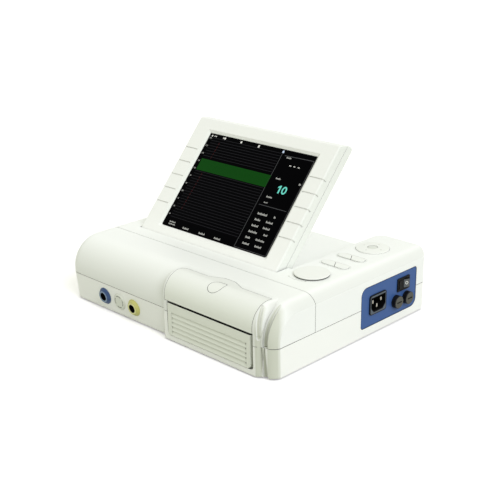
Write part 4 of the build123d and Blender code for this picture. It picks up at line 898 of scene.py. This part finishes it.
def trace_dashes():
    low, high = BAND[1] - TRACE_CLEAR_BELOW, BAND[1] + BAND[3] + TRACE_CLEAR_ABOVE
    dashes = []
    for step in range(TRACE_COUNT):
        x = TRACE_START[0] + TRACE_STEP[0] * step
        y = TRACE_START[1] + TRACE_STEP[1] * step
        if not low < y + TRACE_DASH[1] / 2 < high:
            dashes.append(strip((x, y), (x + TRACE_DASH[0], y + TRACE_DASH[1]), TRACE_WIDTH))
    return dashes


def screen_words():
    rows = [*CHART_WORDS, *((x, *TIME_WORD) for x in TIME_XS), *COLUMN_WORDS]
    for step, (name, value) in enumerate(MENU_ROWS):
        y = MENU_TOP - MENU_PITCH * step
        rows.append((COLUMN_X, y, name, MENU_NAME_HEIGHT))
        rows.append((MENU_RIGHT_X - value, y + MENU_VALUE_RISE, value, MENU_VALUE_HEIGHT))
    return [outline for row in rows for outline in word(*row)]


def add_screen_marks():
    place = screen_place()

    def marks(name, outlines, material):
        plates = plate_mesh(outlines, MARK_T)
        add_piece(name, [(plates, (0, 0, MARK_T / 2))], place, material, "display")

    marks("screen_grid", grid_lines(), LIT_LINE)
    marks("screen_band", [bar(*BAND)], LIT_GREEN)
    marks("screen_frame", [bar(*DIVIDER), bar(*MENU_LINE), strip(*TOP_LINE), bar(*RIGHT_LINE),
                           bar(*BOTTOM_LINE)], LIT_FRAME)
    marks("screen_words", screen_words(), LIT_TEXT)
    marks("screen_icons", [disc(*STATUS_DOT)] + [bar(*mark) for mark in STATUS_BLOCKS + VALUE_DASHES],
          LIT_ICON)
    marks("screen_signal_mark", [SIGNAL_MARK], LIT_PALE)
    marks("screen_trace", trace_dashes(), LIT_RED)
    figures = [(number_mesh(text, SCALE_HEIGHT, MARK_T),
                (SCALE_X, SCALE_TOP - SCALE_PITCH * step, MARK_T / 2))
               for step, text in enumerate(SCALE_FIGURES)]
    add_piece("screen_scale_figures", figures, place, LIT_TEXT, "display")
    marks("screen_count_figures", [COUNT_ONE] + [oval(*ring) for ring in COUNT_NOUGHT], LIT_CYAN)


# ---- marks, inserts, painted shadows and painted light on the case ------------------------------
def add_print(name, outlines, z, material, body):
    """A print of almost no thickness on a level face at height z."""
    print_mesh = plate_mesh(outlines, PRINT_T)
    add_piece(name, [(print_mesh, (0, 0, PRINT_T / 2))], level_place(z), material, body)


def add_turn_mark():
    """Arc beside the knob with a dot at each end, which says that the knob turns."""
    marks = [arc_strip(TURN_CENTRE, TURN_R, TURN_START, TURN_END, TURN_WIDTH)]
    for angle in (TURN_START - TURN_DOT_GAP, TURN_END + TURN_DOT_GAP):
        x = TURN_CENTRE[0] + TURN_R * math.cos(math.radians(angle))
        y = TURN_CENTRE[1] + TURN_R * math.sin(math.radians(angle))
        marks.append(disc(x, y, TURN_DOT_R))
    add_print("knob_turn_mark", marks, CASE_TOP_Z, GREY, "case")


def add_key_gap_shades():
    """Painted shade: a faint darker line round each pair of keys, where the gap round them is shaded.
    """
    width, height = KEY_SIZE
    lines = [stadium(x, y, width + 2 * grow, height + 2 * grow)
             for x, y in KEY_CENTRES for grow in KEY_SHADE_OFFSETS]
    add_print("key_gap_shades", lines, CASE_TOP_Z, FAINT_SHADE, "case")


def add_nav_marks():
    """Four small plain arrows on the four-way disc."""
    marks = []
    for quarter in range(4):
        angle = math.tau * quarter / 4
        out_x, out_y = math.cos(angle), math.sin(angle)
        marks.append([(NAV_CENTRE[0] + out_x * (NAV_MARK_R + out) - out_y * side,
                       NAV_CENTRE[1] + out_y * (NAV_MARK_R + out) + out_x * side)
                      for out, side in NAV_ARROW])
    add_print("nav_marks", marks, NAV_MARK_Z, GREY, "nav")


def add_rocker_marks():
    """Grey face that paints light on the rocker's raised rear rocking face, and the off mark on it.
    """
    length = math.hypot(ROCKER_END[0] - ROCKER_RIDGE_X, ROCKER_END[1])
    place = rocker_place()
    face = bar(LIT_FACE_EDGE, -LIT_FACE_HEIGHT / 2, length - 2 * LIT_FACE_EDGE, LIT_FACE_HEIGHT)
    add_piece("rocker_lit_face", [(plate_mesh([face], LIT_FACE_T), (0, 0, LIT_FACE_T / 2))], place,
              ROCKER_LIT_GREY, "rocker")
    rings = [disc(length / 2, OFF_MARK_RISE, radius, steps=24) for radius in OFF_MARK_RADII]
    add_piece("rocker_off_mark", [(plate_mesh(rings, OFF_MARK_T), (0, 0, LIT_FACE_T + OFF_MARK_T / 2))],
              place, MARK_WHITE, "rocker")


def add_slot_shadow():
    """Painted shadow: a dark strip along the top edge of the drawer front, below the paper slot."""
    (x0, x1), (y0, y1) = SLOT_STRIP_X, SLOT_STRIP_Y
    slot_shadow = plate_mesh([bar(x0, y0, x1 - x0, y1 - y0)], SLOT_STRIP_T)
    place = level_place(SLOT_STRIP_Z + SLOT_STRIP_T / 2)
    add_piece("drawer_slot_shadow", [(slot_shadow, (0, 0, 0))], place, SLOT_SHADOW_BLACK, "drawer")


def add_louvre_end_shadows():
    """Painted shadow: a small dark block at the right end of each louvre."""
    x, z = LOUVRE_END
    end_shadows = [bar(x - END_SHADOW_WIDTH, z - END_SHADOW_HEIGHT - LOUVRE_PITCH * step, END_SHADOW_WIDTH, END_SHADOW_HEIGHT)
             for step in range(LOUVRE_COUNT)]
    place = upright_place(LOUVRE_FLOOR_Y - END_SHADOW_DEPTH / 2)
    add_piece("louvre_end_shadows", [(plate_mesh(end_shadows, END_SHADOW_DEPTH), (0, 0, 0))], place, SHADE_GREY,
              "drawer")


def add_inlet_trim():
    """Grey trim round the mains inlet's mouth, inside the black edge of its flange."""
    y, z = INLET
    half_width, half_height = TRIM_HALF
    sides = ((y - half_width, y + half_width), (z - half_height, z + half_height))
    outer = rounded_box(sides, (TRIM_R,) * 4, steps=4)
    half_width, half_height = MOUTH_HALF
    left, right = y - half_width, y + half_width
    low, high = z - half_height, z + half_height
    mouth = [(left, high), (left, low + MOUTH_CUT), (left + MOUTH_CUT, low),
             (right - MOUTH_CUT, low), (right, low + MOUTH_CUT), (right, high)]
    add_piece("inlet_trim", [(plate_mesh([outer, mouth], TRIM_T), (0, 0, TRIM_T / 2))],
              side_place(PANEL_FACE_X + FLANGE_T), TRIM_GREY, "case")


def add_panel_gasket():
    """Thin dark gasket line round the edge of the mains panel."""
    radii = (PANEL_SMALL_R, PANEL_BIG_R, PANEL_SMALL_R, PANEL_BIG_R)
    lines = [rounded_box((PANEL_Y, PANEL_Z), radii, 6, inset) for inset in GASKET_INSETS]
    add_piece("panel_gasket", [(plate_mesh(lines, GASKET_T), (0, 0, GASKET_T / 2))],
              side_place(PANEL_FACE_X), GASKET, "case")


def contact_holes():
    """One hole in the middle of a cup's floor and the others round it."""
    spots = disc(0, 0, CONTACT_CIRCLE_R, steps=CONTACT_COUNT)
    return [disc(x, y, CONTACT_HOLE_R) for x, y in [(0, 0)] + spots]


def add_socket_inserts():
    """Pale mouth ring of each probe socket, and a dark cup lining its bore, which paints the shadow
    in it, with holes for the contacts.
    """
    ring_top = SOCKET_MOUTH + RING_RISE
    cup_top = SOCKET_MOUTH + CUP_RISE
    for tone, ring_finish in (("blue", RING_BLUE), ("yellow", RING_YELLOW)):
        place = socket_place(SOCKET_XS[tone])
        ring = turned_mesh(((RING_INNER_R, SOCKET_MOUTH), (RING_OUTER_R, SOCKET_MOUTH),
                            (RING_OUTER_R - RING_BEVEL, ring_top),
                            (RING_INNER_R + RING_BEVEL, ring_top)))
        add_piece("socket_ring_" + tone, [(ring, (0, 0, 0))], place, ring_finish, "case")
        sleeve = turned_mesh(((CUP_OUTER_R, SOCKET_FLOOR), (CUP_OUTER_R, cup_top),
                              (CUP_INNER_R, cup_top), (CUP_INNER_R, SOCKET_FLOOR)))
        floor = plate_mesh([disc(0, 0, CUP_FLOOR_R, steps=48)] + contact_holes(), CUP_FLOOR_T)
        meshes = [(sleeve, (0, 0, 0)), (floor, (0, 0, SOCKET_FLOOR + CUP_FLOOR_LIFT))]
        add_piece("socket_bore_shadow_" + tone, meshes, place, BLACK, "case")


def add_blank_shadows():
    """Painted shadow: a dark sheet in two of the slits in the blanking disc."""
    slits = [arc_strip((0, 0), SLIT_R, start, start + SLIT_SPAN, SLIT_WIDTH) for start in SLIT_STARTS]
    add_piece("blank_slit_shadows", [(plate_mesh(slits, SLIT_SHADOW_T), (0, 0, SLIT_SHADOW_Z))],
              socket_place(BLANK_X), SHADE_GREY, "case")


# ---- stage --------------------------------------------------------------------------------------
LIGHT_FROM = Vector((0.76, -0.12, 0.64))
LIGHT_STRENGTH = 1.5
LIGHT_SPREAD = math.radians(35.0)
LIGHT_COLOUR = (0.88, 0.885, 1.0)
FLOOR_R = 12.0
FLOOR_STEPS = 96
FLOOR_DROP = 0.0002

# The camera sees a white floor and room; the object is lit by these duller colours. The lift is
# what the seen floor gives off beside the light that falls on it.
ROOM_COLOUR = (0.75, 0.762, 0.66, 1.0)
FLOOR_COLOUR = (0.5, 0.51, 0.46, 1.0)
FLOOR_LIFT = (0.22, 0.21, 0.23, 1.0)
WHITE = (1.0, 1.0, 1.0, 1.0)
UNLIT = (0.0, 0.0, 0.0, 1.0)


def make_camera():
    data = bpy.data.cameras.new("camera")
    data.lens = CAMERA_LENS
    data.sensor_width = CAMERA_SENSOR
    data.clip_start, data.clip_end = CAMERA_CLIP
    camera = bpy.data.objects.new("camera", data)
    axes = Matrix((CAMERA_RIGHT, CAMERA_UP, CAMERA_BACK)).transposed().to_4x4()
    camera.matrix_world = Matrix.Translation(CAMERA_PLACE) @ axes
    bpy.context.scene.collection.objects.link(camera)
    bpy.context.scene.camera = camera


def make_light():
    data = bpy.data.lights.new("soft_window", "SUN")
    data.energy = LIGHT_STRENGTH
    data.angle = LIGHT_SPREAD
    data.color = LIGHT_COLOUR
    lamp = bpy.data.objects.new("soft_window", data)
    lamp.rotation_mode = "QUATERNION"
    lamp.rotation_quaternion = LIGHT_FROM.to_track_quat("Z", "Y")
    bpy.context.scene.collection.objects.link(lamp)


def make_floor():
    data = bpy.data.meshes.new("floor")
    mesh = bmesh.new()
    bmesh.ops.create_circle(mesh, cap_ends=True, segments=FLOOR_STEPS, radius=FLOOR_R)
    mesh.to_mesh(data)
    mesh.free()
    floor = bpy.data.objects.new("floor", data)
    floor.location.z = -FLOOR_DROP
    bpy.context.scene.collection.objects.link(floor)
    material, tree, shader = blank_material("floor_white")
    seen = node(tree, "LightPath").outputs
    direct = maths(tree, "MAXIMUM", seen["Is Camera Ray"], seen["Is Glossy Ray"])
    tree.links.new(mix_colour(tree, direct, FLOOR_COLOUR, WHITE), shader.inputs["Base Color"])
    tree.links.new(mix_colour(tree, direct, UNLIT, FLOOR_LIFT), shader.inputs["Emission Color"])
    shader.inputs["Emission Strength"].default_value = 1.0
    shader.inputs["Roughness"].default_value = 1.0
    shader.inputs["Specular IOR Level"].default_value = 0.0
    data.materials.append(material)


def make_world():
    world = bpy.data.worlds.new("studio")
    bpy.context.scene.world = world
    world.use_nodes = True
    tree = world.node_tree
    seen = node(tree, "LightPath").outputs
    direct = maths(tree, "MAXIMUM", seen["Is Camera Ray"], seen["Is Transmission Ray"])
    direct = maths(tree, "MAXIMUM", direct, seen["Is Glossy Ray"])
    background = tree.nodes["Background"]
    tree.links.new(mix_colour(tree, direct, ROOM_COLOUR, WHITE), background.inputs["Color"])
    background.inputs["Strength"].default_value = 1.0


make_camera()
make_world()
make_floor()
make_light()
finish_cad_nodes()
add_screen_marks()
add_turn_mark()
add_rocker_marks()
add_slot_shadow()
add_louvre_end_shadows()
add_inlet_trim()
add_panel_gasket()
add_socket_inserts()
add_blank_shadows()
add_key_gap_shades()
add_nav_marks()

bpy.context.scene.view_settings.view_transform = "Standard"
